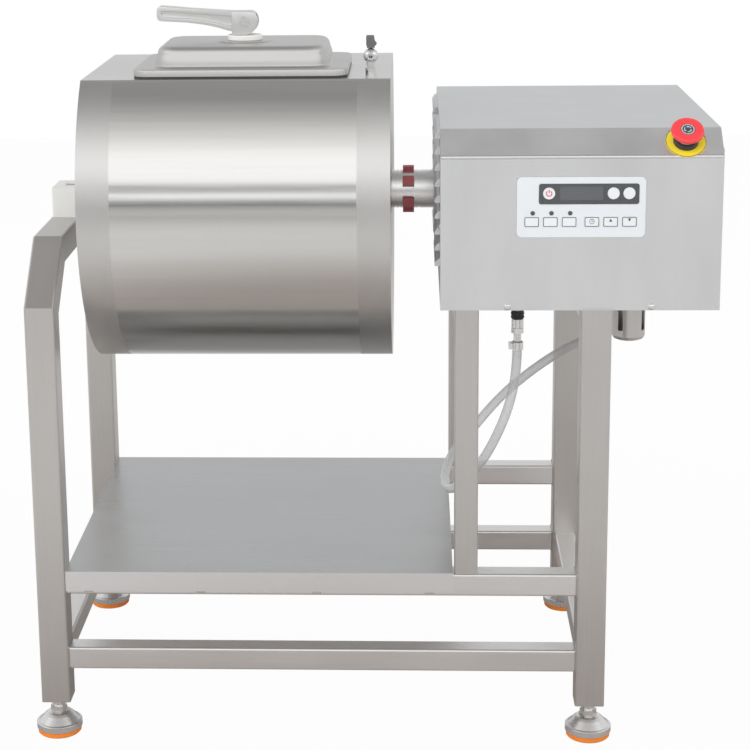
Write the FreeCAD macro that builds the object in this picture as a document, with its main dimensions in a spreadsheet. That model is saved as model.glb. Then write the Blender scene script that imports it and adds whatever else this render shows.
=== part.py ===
import FreeCAD, Part
import math
import os
import re
import Sketcher

# Meat vacuum tumbler with a horizontal drum of about 55 litres.
# Millimetres. X runs along the drum towards the drive housing, Y from front to back, Z up
# from the floor. The origin is on the floor, under the middle of the machine.

SIZES = {
    # welded frame of square stainless tube
    "frame_length": 738,
    "frame_depth": 481,
    "leg_width": 38,
    "rail_width": 30,
    "tube_wall": 1.5,
    "foot_height": 48,
    "tube_corner": 3,
    "beam_height": 659,
    "lean_rise": 76,
    "beam_setback": 82,
    "rail_low": 94,
    "shelf_height": 230.5,
    "shelf_length": 503,
    "shelf_sheet": 2,
    "shelf_lip": 27,
    "post_offset": 18.3,
    # levelling feet
    "foot_radius": 30,
    "pad_radius": 28.5,
    "pad_rise": 7,
    "skirt_rise": 9,
    "cone_rise": 13,
    "stud_radius": 6,
    "nut_flats": 18,
    "stud_flats": 19,
    "stud_plate": 6,
    "nut_rise": 7.5,
    # drum
    "drum_left": 68,
    "drum_length": 394.5,
    "drum_radius": 224,
    "drum_wall": 2,
    "drum_plate": 3,
    "axis_rise": 32,
    "flat_rise": 168,
    "journal_radius": 9,
    "journal_boss": 20,
    "journal_flange": 35,
    "baffle_reach": 38,
    "baffle_sheet": 3,
    # bearing block
    "block_inset": 3,
    "block_length": 40,
    "block_depth": 60,
    "block_rise": 8,
    "block_web": 14,
    # lid and its opening
    "lid_shift_x": 5,
    "lid_shift_y": -41,
    "opening_length": 184,
    "opening_width": 124,
    "opening_corner": 26,
    "rim_wall": 3,
    "rim_rise": 6,
    "rim_drop": 10,
    "gasket_rise": 3,
    "flange_length": 275,
    "flange_width": 202,
    "flange_corner": 20,
    "flange_lip": 8.5,
    "lid_sheet": 2,
    "dome_length": 218,
    "dome_width": 152,
    "dome_rise": 26.5,
    "dome_draft": 8.5,
    "dome_corner": 28,
    "dome_round": 8,
    "boss_radius": 39,
    "boss_rise": 1.2,
    "washer_radius": 23,
    "washer_rise": 7,
    # clamp of the lid
    "clamp_stud": 6,
    "cam_radius": 17.7,
    "lever_width": 26,
    "lever_reach": 115,
    "lever_fork": 13.6,
    "pin_radius": 4,
    "clamp_bar_length": 160,
    "clamp_bar_width": 24,
    "clamp_bar_rise": 8,
    # release valve
    "valve_x": 369,
    "valve_y": -110,
    "valve_collar": 7,
    "valve_ball": 9.6,
    "valve_rise": 25,
    "valve_bore": 2.6,
    # jaw coupling
    "hub_radius": 25.7,
    "hub_length": 14,
    "jaw_length": 15.2,
    "jaw_angle": 31.5,
    "jaw_core": 14.3,
    "spider_angle": 26,
    "spider_core": 14,
    "spider_radius": 32,
    "sleeve_length": 54,
    "sleeve_clearance": 4,
    "coupling_gap": 62,
    "shaft_radius": 12.5,
    # drive housing
    "housing_length": 346.5,
    "housing_front": 4.8,
    "housing_rear": 26,
    "housing_drop": 112.5,
    "front_rise": 194,
    "slope_rise": 30,
    "slope_depth": 34.6,
    "cover_sheet": 1.5,
    "tray_sheet": 3,
    "tray_lip": 20,
    "screw_radius": 4.3,
    "screw_rise": 2.6,
    "louvre_front": 55,
    "louvre_rear": 35,
    "louvre_gap": 70,
    "louvre_low": 47.5,
    "louvre_pitch": 20.5,
    "louvre_reach": 6.5,
    "louvre_sheet": 1.2,
    # control panel
    "panel_x": 173,
    "panel_z": 131,
    "panel_length": 158,
    "panel_rise": 75.5,
    "panel_sheet": 2.5,
    "panel_proud": 0.6,
    "panel_corner": 6,
    "display_length": 123,
    "display_rise": 25.7,
    "display_sheet": 0.4,
    "key_length": 17.8,
    "key_rise": 12.2,
    "round_key": 7.3,
    "key_sheet": 1.3,
    "key_proud": 0.4,
    "key_gap": 0.2,
    "key_pocket": 1.6,
    "key_travel": 0.6,
    "key_pitch": 23,
    "key_first_x": 112.5,
    "key_second_x": 186.5,
    "key_z": 112.5,
    "power_x": 133.5,
    "dial_x": 212.5,
    "dial_pitch": 19.2,
    "dial_z": 148.3,
    "display_x": 121,
    "display_z": 134.7,
    "lamp_x": 113.7,
    "lamp_z": 123.5,
    "lamp_radius": 2.8,
    # emergency stop
    "stop_x": 301.2,
    "stop_plate": 25,
    "stop_collar": 15.5,
    "stop_stem": 11,
    "stop_button": 20.3,
    "stop_travel": 4,
    # gear motor
    "gearbox_inset": 30,
    "gearbox_length": 90,
    "gearbox_depth": 120,
    "gearbox_drop": 62,
    "gearbox_rise": 84,
    "motor_radius": 50,
    "motor_clearance": 19,
    "motor_lift": 26,
    # vacuum pump and its exhaust guard
    "pump_x": 222,
    "pump_y": 60,
    "pump_feet": 20,
    "pump_length": 100,
    "pump_depth": 130,
    "pump_rise": 120,
    "pump_motor": 46,
    "exhaust_x": 247,
    "exhaust_y": 120,
    "exhaust_radius": 7,
    "guard_radius": 21.5,
    "guard_wall": 1.2,
    "guard_drop": 65.5,
    "guard_slot": 7,
    # hose and its two fittings
    "hose_radius": 6.25,
    "coupler_x": 102.5,
    "coupler_y": 120,
    "coupler_drop": 69.5,
    "coupler_nipple": 5,
    "coupler_core": 6,
    "coupler_collar": 7.9,
    "ring_radius": 8.8,
    "ring_rise": 11,
    "ring_travel": 3,
    "port_x": 223.5,
    "port_y": 219,
    "port_drop": 30.5,
    "clamp_width": 10,
    "cable_gland": 8,
    # clearances
    "running_gap": 0.05,
    "seat_gap": 0.3,
}

# Places and lengths that follow from the sizes.
PLACES = {
    "lean_height": "beam_height - lean_rise",
    "axis_height": "beam_height + axis_rise",
    "deck_height": "axis_height - housing_drop",
    "housing_left": "drum_left + drum_length + coupling_gap",
    "housing_right": "housing_left + housing_length",
    "frame_x": "-(housing_right + screw_rise - (foot_radius - leg_width / 2)) / 2",
    "front_y": "-frame_depth / 2",
    "rail_inset": "(leg_width - rail_width) / 2",
    "lean_angle": "atan(lean_rise / beam_setback)",
    "lean_drop": "leg_width * tan((90 deg - lean_angle) / 2)",
    "beam_inset": "leg_width * tan(lean_angle / 2)",
    "drum_x": "frame_x + drum_left",
    "drum_end": "drum_x + drum_length",
    "flat_z": "axis_height + flat_rise",
    "block_top": "axis_height + block_rise",
    "box_x": "frame_x + housing_left",
    "box_y": "front_y + housing_front",
    "box_back": "-front_y - housing_rear",
    "slope_z": "deck_height + front_rise",
    "roof_z": "slope_z + slope_rise",
    "slope_angle": "atan(slope_rise / slope_depth)",
    "slope_length": "sqrt(slope_rise ^ 2 + slope_depth ^ 2)",
    "tray_top": "deck_height + tray_sheet",
    "post_x": "box_x + post_offset",
    "lid_x": "drum_x + drum_length / 2 + lid_shift_x",
    "lid_y": "lid_shift_y",
    "gasket_top": "flat_z + gasket_rise",
    "flange_top": "gasket_top + flange_lip",
    "dome_top": "flange_top + dome_rise",
    "washer_top": "dome_top + boss_rise + washer_rise",
    "pin_z": "washer_top + cam_radius + seat_gap",
    "clamp_bar_top": "flat_z - rim_drop - seat_gap",
    "skirt_top": "pad_rise + skirt_rise",
    "cone_top": "skirt_top + cone_rise",
    "nut_bottom": "foot_height - nut_rise",
}

DOCUMENT = FreeCAD.newDocument("vacuum_tumbler")
SHEET = DOCUMENT.addObject("Spreadsheet::Sheet", "dims")
for row, (size_name, size) in enumerate(SIZES.items(), start=1):
    SHEET.set("A%d" % row, size_name)
    SHEET.set("B%d" % row, str(size))
    SHEET.setAlias("B%d" % row, size_name)
DOCUMENT.recompute()

SUBPARTS = []
X_AXIS = FreeCAD.Vector(1, 0, 0)
Y_AXIS = FreeCAD.Vector(0, 1, 0)
Z_AXIS = FreeCAD.Vector(0, 0, 1)
TURNS = {
    "x": FreeCAD.Rotation(Y_AXIS, 90),
    "y": FreeCAD.Rotation(X_AXIS, -90),
    "z": FreeCAD.Rotation(),
}


# ---------------------------------------------------------------- formulas and bindings

def formula(text):
    """Turn a formula in plain size names into an expression on the sheet."""
    def word(match):
        name = match.group(0)
        if name in PLACES:
            return "(" + formula(PLACES[name]) + ")"
        return "dims." + name if name in SIZES else name
    return re.sub(r"[A-Za-z_]\w*", word, str(text))


def value(text):
    """The number that a formula gives, in millimetres or degrees."""
    result = SHEET.evalExpression(formula(text))
    return float(getattr(result, "Value", result))


def vector(x, y, z):
    return FreeCAD.Vector(value(x), value(y), value(z))


def place(thing, x="0", y="0", z="0"):
    """Bind an object's place to formulas."""
    for axis, text in (("x", x), ("y", y), ("z", z)):
        thing.setExpression("Placement.Base." + axis, formula(text))
    return thing


def subpart(thing, node):
    """Name an object as one sub-part of the machine."""
    thing.Label = node
    SUBPARTS.append(thing)
    return thing


# ---------------------------------------------------------------- primitives and booleans

def box(name, corner, size):
    thing = DOCUMENT.addObject("Part::Box", name)
    for side, text in zip(("Length", "Width", "Height"), size):
        thing.setExpression(side, formula(text))
    return place(thing, *corner)


def cylinder(name, base, radius, height, along="z"):
    thing = DOCUMENT.addObject("Part::Cylinder", name)
    thing.setExpression("Radius", formula(radius))
    thing.setExpression("Height", formula(height))
    thing.Placement.Rotation = TURNS[along]
    return place(thing, *base)


def cut(name, base, tool):
    thing = DOCUMENT.addObject("Part::Cut", name)
    thing.Base = base
    thing.Tool = tool
    return thing


def fuse(name, things):
    thing = DOCUMENT.addObject("Part::MultiFuse", name)
    thing.Shapes = things
    return thing


def common(name, things):
    thing = DOCUMENT.addObject("Part::MultiCommon", name)
    thing.Shapes = things
    return thing


def group(name, things):
    """Several separate solids that share one node."""
    thing = DOCUMENT.addObject("Part::Compound", name)
    thing.Links = things
    return thing


def rounded_box(name, corner, size, radius, along="z"):
    """A box whose edges along one axis are rounded."""
    base = box(name + "_block", corner, size)
    DOCUMENT.recompute()
    edges = []
    for index, edge in enumerate(base.Shape.Edges, start=1):
        if abs(getattr(edge.tangentAt(edge.FirstParameter), along)) > 0.9:
            edges.append((index, value(radius), value(radius)))
    thing = DOCUMENT.addObject("Part::Fillet", name)
    thing.Base = base
    thing.Edges = edges
    return thing


def square_tube(name, corner, size, along):
    """A straight tube, open at both ends, that runs along one axis."""
    hollow_corner = [text if axis == along else "%s + tube_wall" % text
                     for axis, text in zip("xyz", corner)]
    hollow_size = [text if axis == along else "%s - 2 * tube_wall" % text
                   for axis, text in zip("xyz", size)]
    outside = rounded_box(name + "_outside", corner, size, "tube_corner", along)
    inside = rounded_box(name + "_inside", hollow_corner, hollow_size,
                         "tube_corner - tube_wall", along)
    return cut(name, outside, inside)


def shaped(name, shape):
    """A sub-part whose shape is made with Part's own functions."""
    thing = DOCUMENT.addObject("Part::Feature", name)
    thing.Shape = shape
    return thing


# ---------------------------------------------------------------- bodies and sketches

def new_body(name, x="0", y="0", z="0"):
    body = DOCUMENT.addObject("PartDesign::Body", name)
    return place(body, x, y, z)


def new_sketch(body, role, offset="0"):
    """A sketch on one of the body's own planes, moved along its normal."""
    sketch = body.newObject("Sketcher::SketchObject", body.Name + "_sketch")
    plane = [f for f in body.Origin.OriginFeatures if f.Role == role][0]
    sketch.AttachmentSupport = [(plane, "")]
    sketch.MapMode = "FlatFace"
    sketch.setExpression("AttachmentOffset.Base.z", formula(offset))
    return sketch


def draw_outline(sketch, corners):
    """A closed outline whose corners are held by bound distances."""
    points = [FreeCAD.Vector(value(across), value(up), 0) for across, up in corners]
    first = sketch.GeometryCount
    count = len(points)
    for index in range(count):
        line = Part.LineSegment(points[index], points[(index + 1) % count])
        sketch.addGeometry(line, False)
    for index in range(count):
        following = first + (index + 1) % count
        sketch.addConstraint(Sketcher.Constraint("Coincident", first + index, 2, following, 1))
    for index, corner in enumerate(corners):
        for kind, text, distance in zip(("DistanceX", "DistanceY"), corner, points[index]):
            held = Sketcher.Constraint(kind, -1, 1, first + index, 1, distance)
            number = sketch.addConstraint(held)
            sketch.setExpression("Constraints[%d]" % number, formula(text))


def draw_circle(sketch, across, up, radius):
    """A circle held by its radius and the distances to its centre."""
    centre = FreeCAD.Vector(value(across), value(up), 0)
    index = sketch.addGeometry(Part.Circle(centre, Z_AXIS, value(radius)), False)
    held = (
        (Sketcher.Constraint("DistanceX", -1, 1, index, 3, centre.x), across),
        (Sketcher.Constraint("DistanceY", -1, 1, index, 3, centre.y), up),
        (Sketcher.Constraint("Radius", index, value(radius)), radius),
    )
    for constraint, text in held:
        number = sketch.addConstraint(constraint)
        sketch.setExpression("Constraints[%d]" % number, formula(text))


def pad(body, sketch, length):
    feature = body.newObject("PartDesign::Pad", body.Name + "_pad")
    feature.Profile = sketch
    feature.setExpression("Length", formula(length))
    return feature


def pocket(body, sketch, length, forward=True):
    """A cut along the sketch's normal, or against it."""
    feature = body.newObject("PartDesign::Pocket", body.Name + "_pocket")
    feature.Profile = sketch
    feature.Reversed = forward
    feature.setExpression("Length", formula(length))
    return feature


def revolve(body, sketch, axis):
    feature = body.newObject("PartDesign::Revolution", body.Name + "_revolution")
    feature.Profile = sketch
    feature.ReferenceAxis = (sketch, [axis])
    feature.Angle = 360
    return feature


def turned_upright(name, profile, x, y, z="0"):
    """A turned piece on an upright axis, from radius and height pairs."""
    body = new_body(name, x, y, z)
    sketch = new_sketch(body, "XZ_Plane")
    draw_outline(sketch, profile)
    revolve(body, sketch, "V_Axis")
    return body


def turned_along(name, profile, x, y, z):
    """A turned piece on an axis along X, from length and radius pairs."""
    body = new_body(name, x, y, z)
    sketch = new_sketch(body, "XZ_Plane")
    draw_outline(sketch, profile)
    revolve(body, sketch, "H_Axis")
    return body


def hexagon(name, centre, flats, height):
    """A hexagonal prism on an upright axis."""
    thing = DOCUMENT.addObject("Part::Prism", name)
    thing.Polygon = 6
    thing.setExpression("Circumradius", formula("(%s) / 2 / cos(30 deg)" % flats))
    thing.setExpression("Height", formula(height))
    return place(thing, *centre)


# ---------------------------------------------------------------- welded frame

def round_along(body, feature, start, end):
    """Round the tube's corners, which run parallel to the line from start to end."""
    DOCUMENT.recompute()
    run = vector("0", "%s - (%s)" % (end[0], start[0]), "%s - (%s)" % (end[1], start[1]))
    run.normalize()
    edges = []
    for index, edge in enumerate(feature.Shape.Edges, start=1):
        if abs(edge.tangentAt(edge.FirstParameter).dot(run)) > 0.999:
            edges.append("Edge%d" % index)
    rounding = body.newObject("PartDesign::Fillet", body.Name + "_rounding")
    rounding.Base = (feature, edges)
    rounding.setExpression("Radius", formula("tube_corner"))
    return rounding


def portal_tube(name, outside, inside):
    """One mitred tube of the left portal, as an outline in Y and Z with a hollow."""
    body = new_body(name, "frame_x")
    outline = new_sketch(body, "YZ_Plane")
    draw_outline(outline, outside)
    round_along(body, pad(body, outline, "leg_width"), outside[0], outside[-1])
    hollow = new_sketch(body, "YZ_Plane", "tube_wall")
    draw_outline(hollow, inside)
    pocket(body, hollow, "leg_width - 2 * tube_wall")
    return body


def portal_side(front):
    """The leg and the leaning brace on one side of the left portal."""
    def y(offset):
        return "front_y + %s" % offset if front else "-front_y - (%s)" % offset

    def slant(depth):
        return "lean_height - lean_drop * (%s) / leg_width" % depth

    def inset(depth):
        return "beam_setback + beam_inset * (%s) / leg_width" % depth

    near, far = "tube_wall", "leg_width - tube_wall"
    floor = "foot_height + stud_plate"
    side = "front" if front else "rear"
    leg = portal_tube(
        "left_%s_leg_tube" % side,
        [(y("0"), "foot_height"), (y("leg_width"), "foot_height"),
         (y("leg_width"), slant("leg_width")), (y("0"), "lean_height")],
        [(y(near), floor), (y(far), floor), (y(far), slant(far)), (y(near), slant(near))])
    brace = portal_tube(
        "left_%s_brace_tube" % side,
        [(y("0"), "lean_height"), (y("leg_width"), slant("leg_width")),
         (y(inset("leg_width")), "beam_height - leg_width"), (y("beam_setback"), "beam_height")],
        [(y(near), slant(near)), (y(far), slant(far)),
         (y(inset(far)), "beam_height - (%s)" % far), (y(inset(near)), "beam_height - tube_wall")])
    return leg, brace


def top_beam():
    """The level tube that joins the two braces and carries the bearing block."""
    def corners(high, low):
        across_high = "beam_setback + beam_inset * (%s) / leg_width" % high
        across_low = "beam_setback + beam_inset * (%s) / leg_width" % low
        return [("front_y + " + across_high, "beam_height - (%s)" % high),
                ("front_y + " + across_low, "beam_height - (%s)" % low),
                ("-front_y - (%s)" % across_low, "beam_height - (%s)" % low),
                ("-front_y - (%s)" % across_high, "beam_height - (%s)" % high)]
    return portal_tube("left_top_beam", corners("0", "leg_width"),
                       corners("tube_wall", "leg_width - tube_wall"))


def stud_hole(leg, x, y):
    """Bore a leg's end plate for the foot's stud."""
    bore = cylinder(leg.Name + "_bore", (x, y, "foot_height - 1"),
                    "stud_radius + running_gap", "stud_plate + 2")
    return cut(leg.Name + "_drilled", leg, bore)


def straight_leg(name, y):
    """A right-hand leg, closed at both ends and bored for its foot."""
    x = "frame_x + frame_length - leg_width"
    height = "deck_height - foot_height"
    outside = rounded_box(name + "_outside", (x, y, "foot_height"),
                          ("leg_width", "leg_width", height), "tube_corner")
    inside = rounded_box(name + "_inside",
                         (x + " + tube_wall", y + " + tube_wall", "foot_height + stud_plate"),
                         ("leg_width - 2 * tube_wall", "leg_width - 2 * tube_wall",
                          height + " - stud_plate - tube_wall"), "tube_corner - tube_wall")
    leg = cut(name, outside, inside)
    return stud_hole(leg, x + " + leg_width / 2", y + " + leg_width / 2")

# One list of corners per face keeps the portal's tubes and their hollows in step.
for_front = portal_side(True)
for_rear = portal_side(False)
leg_middle = "leg_width / 2"
left_foot_x = "frame_x + " + leg_middle
right_foot_x = "frame_x + frame_length - " + leg_middle
front_foot_y = "front_y + " + leg_middle
rear_foot_y = "-front_y - " + leg_middle
subpart(stud_hole(for_front[0], left_foot_x, front_foot_y), "left_front_leg")
subpart(stud_hole(for_rear[0], left_foot_x, rear_foot_y), "left_rear_leg")
subpart(group("left_brace_pair", [for_front[1], for_rear[1]]), "left_braces")
subpart(top_beam(), "left_top_beam")
subpart(group("right_leg_pair", [straight_leg("right_front", "front_y"),
                                 straight_leg("right_rear", "-front_y - leg_width")]), "right_legs")

front_rail_y = "front_y + rail_inset"
rear_rail_y = "-front_y - rail_inset - rail_width"
rail_top = "shelf_height - shelf_sheet"
beam_low = "deck_height - rail_width"
right_beam_x = "frame_x + frame_length - leg_width + rail_inset"
between_legs = ("frame_length - 2 * leg_width", "rail_width", "rail_width")
across_frame = ("rail_width", "frame_depth - 2 * leg_width", "rail_width")
rails = []
for side, y in (("front", front_rail_y), ("rear", rear_rail_y)):
    for level, z in (("upper", rail_top + " - rail_width"), ("lower", "rail_low")):
        rails.append(square_tube("%s_%s_rail" % (level, side),
                                 ("frame_x + leg_width", y, z), between_legs, "x"))
for side, x in (("left", "frame_x + rail_inset"), ("right", right_beam_x)):
    rails.append(square_tube("lower_%s_rail" % side, (x, "front_y + leg_width", "rail_low"),
                             across_frame, "y"))
subpart(group("rail_set", rails), "rails")

posts = []
for side, y in (("front", front_rail_y), ("rear", rear_rail_y)):
    posts.append(square_tube("middle_%s_post" % side, ("post_x", y, rail_top),
                             ("rail_width", "rail_width", "deck_height - (%s)" % rail_top), "z"))
subpart(group("post_pair", posts), "middle_posts")

post_beam_y = "front_y + rail_inset + rail_width"
post_beam_size = ("rail_width", "frame_depth - 2 * rail_inset - 2 * rail_width", "rail_width")
subpart(group("beam_pair", [
    square_tube("post_beam", ("post_x", post_beam_y, beam_low), post_beam_size, "y"),
    square_tube("right_beam", (right_beam_x, "front_y + leg_width", beam_low), across_frame, "y"),
]), "top_beams")

# The shelf lies on the upper rails and hangs a lip over the front and the rear one.
shelf_x = "frame_x + leg_width"
lip_size = ("shelf_length", "shelf_sheet", "shelf_lip")
lip_low = "shelf_height - shelf_lip"
shelf_front = "front_y + rail_inset - shelf_sheet"
subpart(fuse("shelf_sheets", [
    box("shelf_top", (shelf_x, shelf_front, rail_top),
        ("shelf_length", "frame_depth - 2 * rail_inset + 2 * shelf_sheet", "shelf_sheet")),
    box("shelf_front_lip", (shelf_x, shelf_front, lip_low), lip_size),
    box("shelf_rear_lip", (shelf_x, "-front_y - rail_inset", lip_low), lip_size),
]), "shelf")


# ---------------------------------------------------------------- levelling feet

PAD = [("0", "0"), ("pad_radius - 1.5", "0"), ("pad_radius", "1.5"), ("pad_radius", "pad_rise"),
       ("0", "pad_rise")]
CONE = [("0", "pad_rise"), ("foot_radius * 0.97", "pad_rise"),
        ("foot_radius", "pad_rise + skirt_rise * 0.1"), ("foot_radius", "skirt_top - skirt_rise * 0.1"),
        ("foot_radius * 0.97", "skirt_top"), ("foot_radius * 0.9", "skirt_top + cone_rise * 0.06"),
        ("foot_radius * 0.63", "cone_top - cone_rise * 0.31"),
        ("foot_radius * 0.53", "cone_top - cone_rise * 0.12"), ("stud_radius * 2", "cone_top"),
        ("0", "cone_top")]
stud_low = "cone_top + seat_gap"
FEET = (
    ("left_front", left_foot_x, front_foot_y), ("left_rear", left_foot_x, rear_foot_y),
    ("right_front", right_foot_x, front_foot_y), ("right_rear", right_foot_x, rear_foot_y),
)
pads = []
cones = []
nuts = []
for foot, x, y in FEET:
    pads.append(turned_upright(foot + "_pad", PAD, x, y))
    cones.append(turned_upright(foot + "_cone", CONE, x, y))
    nut = hexagon(foot + "_nut_blank", (x, y, "nut_bottom"), "nut_flats", "nut_rise")
    thread = cylinder(foot + "_nut_bore", (x, y, "nut_bottom - 1"), "stud_radius + running_gap",
                      "nut_rise + 2")
    nuts.append(cut(foot + "_nut", nut, thread))
    subpart(fuse(foot + "_stud", [
        hexagon(foot + "_stud_hex", (x, y, stud_low), "stud_flats", "7.7"),
        cylinder(foot + "_stud_neck", (x, y, stud_low), "stud_radius + 1", "10"),
        cylinder(foot + "_stud_shank", (x, y, stud_low), "stud_radius",
                 "foot_height + stud_plate + 4 - (%s)" % stud_low),
    ]), "foot_stud_" + foot)
subpart(group("pad_set", pads), "foot_pads")
subpart(group("cone_set", cones), "foot_cones")
subpart(group("nut_set", nuts), "foot_nuts")


# ---------------------------------------------------------------- bearing block and drum

block_x = "frame_x + block_inset"
slot_x = block_x + " + block_web"
slot_half = "journal_radius + running_gap"
block = box("block_blank", (block_x, "-block_depth / 2", "beam_height"),
            ("block_length", "block_depth", "block_top - beam_height"))
slot = fuse("block_slot", [
    box("slot_mouth", (slot_x, "-(%s)" % slot_half, "axis_height"),
        ("block_length", "2 * (%s)" % slot_half, "block_rise + 1")),
    cylinder("slot_seat", (slot_x, "0", "axis_height"), slot_half, "block_length", "x"),
])
subpart(cut("slotted_block", block, slot), "bearing_block")

drum_start = ("drum_x", "0", "axis_height")
plate_low = "flat_z - drum_wall"
above_plate = ("drum_x - 1", "-drum_radius", plate_low)
above_size = ("drum_length + 2", "2 * drum_radius", "drum_radius")
bore_radius = "drum_radius - drum_wall"
shell_ring = cut("shell_ring",
                 cylinder("shell_outside", drum_start, "drum_radius", "drum_length", "x"),
                 cylinder("shell_inside", ("drum_x - 1", "0", "axis_height"), bore_radius,
                          "drum_length + 2", "x"))
subpart(cut("open_shell", shell_ring, box("above_shell", above_plate, above_size)), "drum_shell")

ends = []
for side, x in (("left", "drum_x"), ("right", "drum_end - drum_plate")):
    disc = cylinder(side + "_disc", (x, "0", "axis_height"), bore_radius, "drum_plate", "x")
    ends.append(cut(side + "_end", disc, box("above_" + side, above_plate, above_size)))
subpart(group("end_pair", ends), "drum_ends")


def centred_rounded(name, low, length, width, height, corner):
    """A rounded box around the middle of the lid."""
    start = ("lid_x - (%s) / 2" % length, "lid_y - (%s) / 2" % width, low)
    return rounded_box(name, start, (length, width, height), corner)


rim_low = "flat_z - rim_drop"
rim_height = "rim_drop + rim_rise"
flat = common("flat_blank", [
    cylinder("flat_edge", drum_start, "drum_radius", "drum_length", "x"),
    box("flat_slab", ("drum_x", "-drum_radius", plate_low),
        ("drum_length", "2 * drum_radius", "drum_wall")),
])
openings = fuse("flat_openings", [
    centred_rounded("lid_opening", plate_low + " - 1", "opening_length", "opening_width",
                    "drum_wall + 2", "opening_corner"),
    cylinder("valve_hole", ("drum_x + valve_x", "valve_y", plate_low + " - 1"), "valve_bore",
             "drum_wall + 2"),
])
rim = cut("opening_rim",
          centred_rounded("rim_outside", rim_low, "opening_length", "opening_width", rim_height,
                          "opening_corner"),
          centred_rounded("rim_inside", rim_low + " - 1", "opening_length - 2 * rim_wall",
                          "opening_width - 2 * rim_wall", rim_height + " + 2",
                          "opening_corner - rim_wall"))
subpart(fuse("flat_with_rim", [cut("flat_cut", flat, openings), rim]), "drum_top_plate")

stub_left = "block_inset + block_web + seat_gap - drum_left"
groove = "hub_radius - 1.2"
hub_rings = [("0", "0"), ("0", "hub_radius"), ("4", "hub_radius"), ("4", groove),
             ("5.4", groove), ("5.4", "hub_radius"), ("9", "hub_radius"), ("9", groove),
             ("10.4", groove), ("10.4", "hub_radius"), ("hub_length", "hub_radius"),
             ("hub_length", "0")]
stub = turned_along("left_journal", [
    (stub_left, "0"), (stub_left, "journal_radius - 1"), (stub_left + " + 1", "journal_radius"),
    ("-12", "journal_radius"), ("-12", "journal_boss"), ("-drum_plate", "journal_boss"),
    ("-drum_plate", "journal_flange"), ("0", "journal_flange"), ("0", "0")],
    "drum_x", "0", "axis_height")
hub = turned_along("right_hub", hub_rings, "drum_end", "0", "axis_height")


def sector(name, x, radius, angle, length, turn):
    """A slice of a disc on the drum's axis, its middle turned away from straight down."""
    thing = cylinder(name, (x, "0", "axis_height"), radius, length, "x")
    thing.setExpression("Angle", formula(angle))
    start = FreeCAD.Rotation(X_AXIS, turn - value(angle) / 2)
    thing.Placement.Rotation = start.multiply(TURNS["x"])
    return place(thing, x, "0", "axis_height")


def claws(name, x, inner, outer, angle, length, turns):
    """Evenly spread slices, hollow in the middle."""
    slices = [sector("%s_slice_%d" % (name, turn), x, outer, angle, length, turn)
              for turn in turns]
    core = cylinder(name + "_core", (x + " - 1", "0", "axis_height"), inner, length + " + 2", "x")
    return cut(name, fuse(name + "_slices", slices), core)


hub_face = "drum_end + hub_length"
jaws = claws("hub_jaws", hub_face, "jaw_core", "hub_radius", "jaw_angle", "jaw_length",
             (30, 150, 270))
subpart(group("journal_pair", [stub, fuse("jawed_hub", [hub, jaws])]), "drum_journals")

baffles = []
for number, turn in enumerate((-60, 0, 60), start=1):
    fin = DOCUMENT.addObject("Part::Box", "baffle_%d" % number)
    fin.setExpression("Length", formula("drum_length - 2 * drum_plate"))
    fin.setExpression("Width", formula("baffle_sheet"))
    fin.setExpression("Height", formula("baffle_reach"))
    middle = "-baffle_sheet / 2"
    reach = bore_radius + " - running_gap"
    fin.Placement.Rotation = FreeCAD.Rotation(X_AXIS, turn)
    place(fin, "drum_x + drum_plate",
          "(%s) * cos(%d deg) + (%s) * sin(%d deg)" % (middle, turn, reach, turn),
          "axis_height + (%s) * sin(%d deg) - (%s) * cos(%d deg)" % (middle, turn, reach, turn))
    baffles.append(fin)
subpart(group("baffle_set", baffles), "drum_baffles")


# ---------------------------------------------------------------- release valve

ball_z = "flat_z + valve_rise"
valve_place = ("drum_x + valve_x", "valve_y")
valve_stand = turned_upright("valve_stand", [
    ("0", "0"), ("valve_collar", "0"), ("valve_collar", "10"), ("valve_collar - 1.4", "11.5"),
    ("valve_collar - 1.4", "valve_rise"), ("0", "valve_rise")], *valve_place, z="flat_z")
ball = DOCUMENT.addObject("Part::Sphere", "valve_ball_blank")
ball.setExpression("Radius", formula("valve_ball"))
place(ball, *valve_place, z=ball_z)
valve_bores = fuse("valve_bores", [
    cylinder("valve_upright_bore", valve_place + ("flat_z - 1",), "valve_bore", "valve_rise + 1"),
    cylinder("valve_side_bore", ("drum_x + valve_x", "valve_y - valve_ball - 3", ball_z),
             "valve_bore", "valve_ball + 3", "y"),
])
spout = cylinder("valve_spout", ("drum_x + valve_x", "valve_y - valve_ball - 1.5", ball_z),
                 "valve_bore + 2", "valve_ball", "y")
valve_solid = fuse("valve_solid", [valve_stand, ball, spout])
subpart(cut("bored_valve", valve_solid, valve_bores), "valve_body")

handle_z = ball_z + " + valve_ball + seat_gap"
subpart(fuse("wing_handle", [
    cylinder("wing_hub", valve_place + (handle_z,), "5", "4"),
    box("wing", ("drum_x + valve_x - 8", "valve_y - 2.5", handle_z + " + 2"), ("16", "5", "14")),
]), "valve_handle")


# ---------------------------------------------------------------- lid, gasket and clamp

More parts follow.
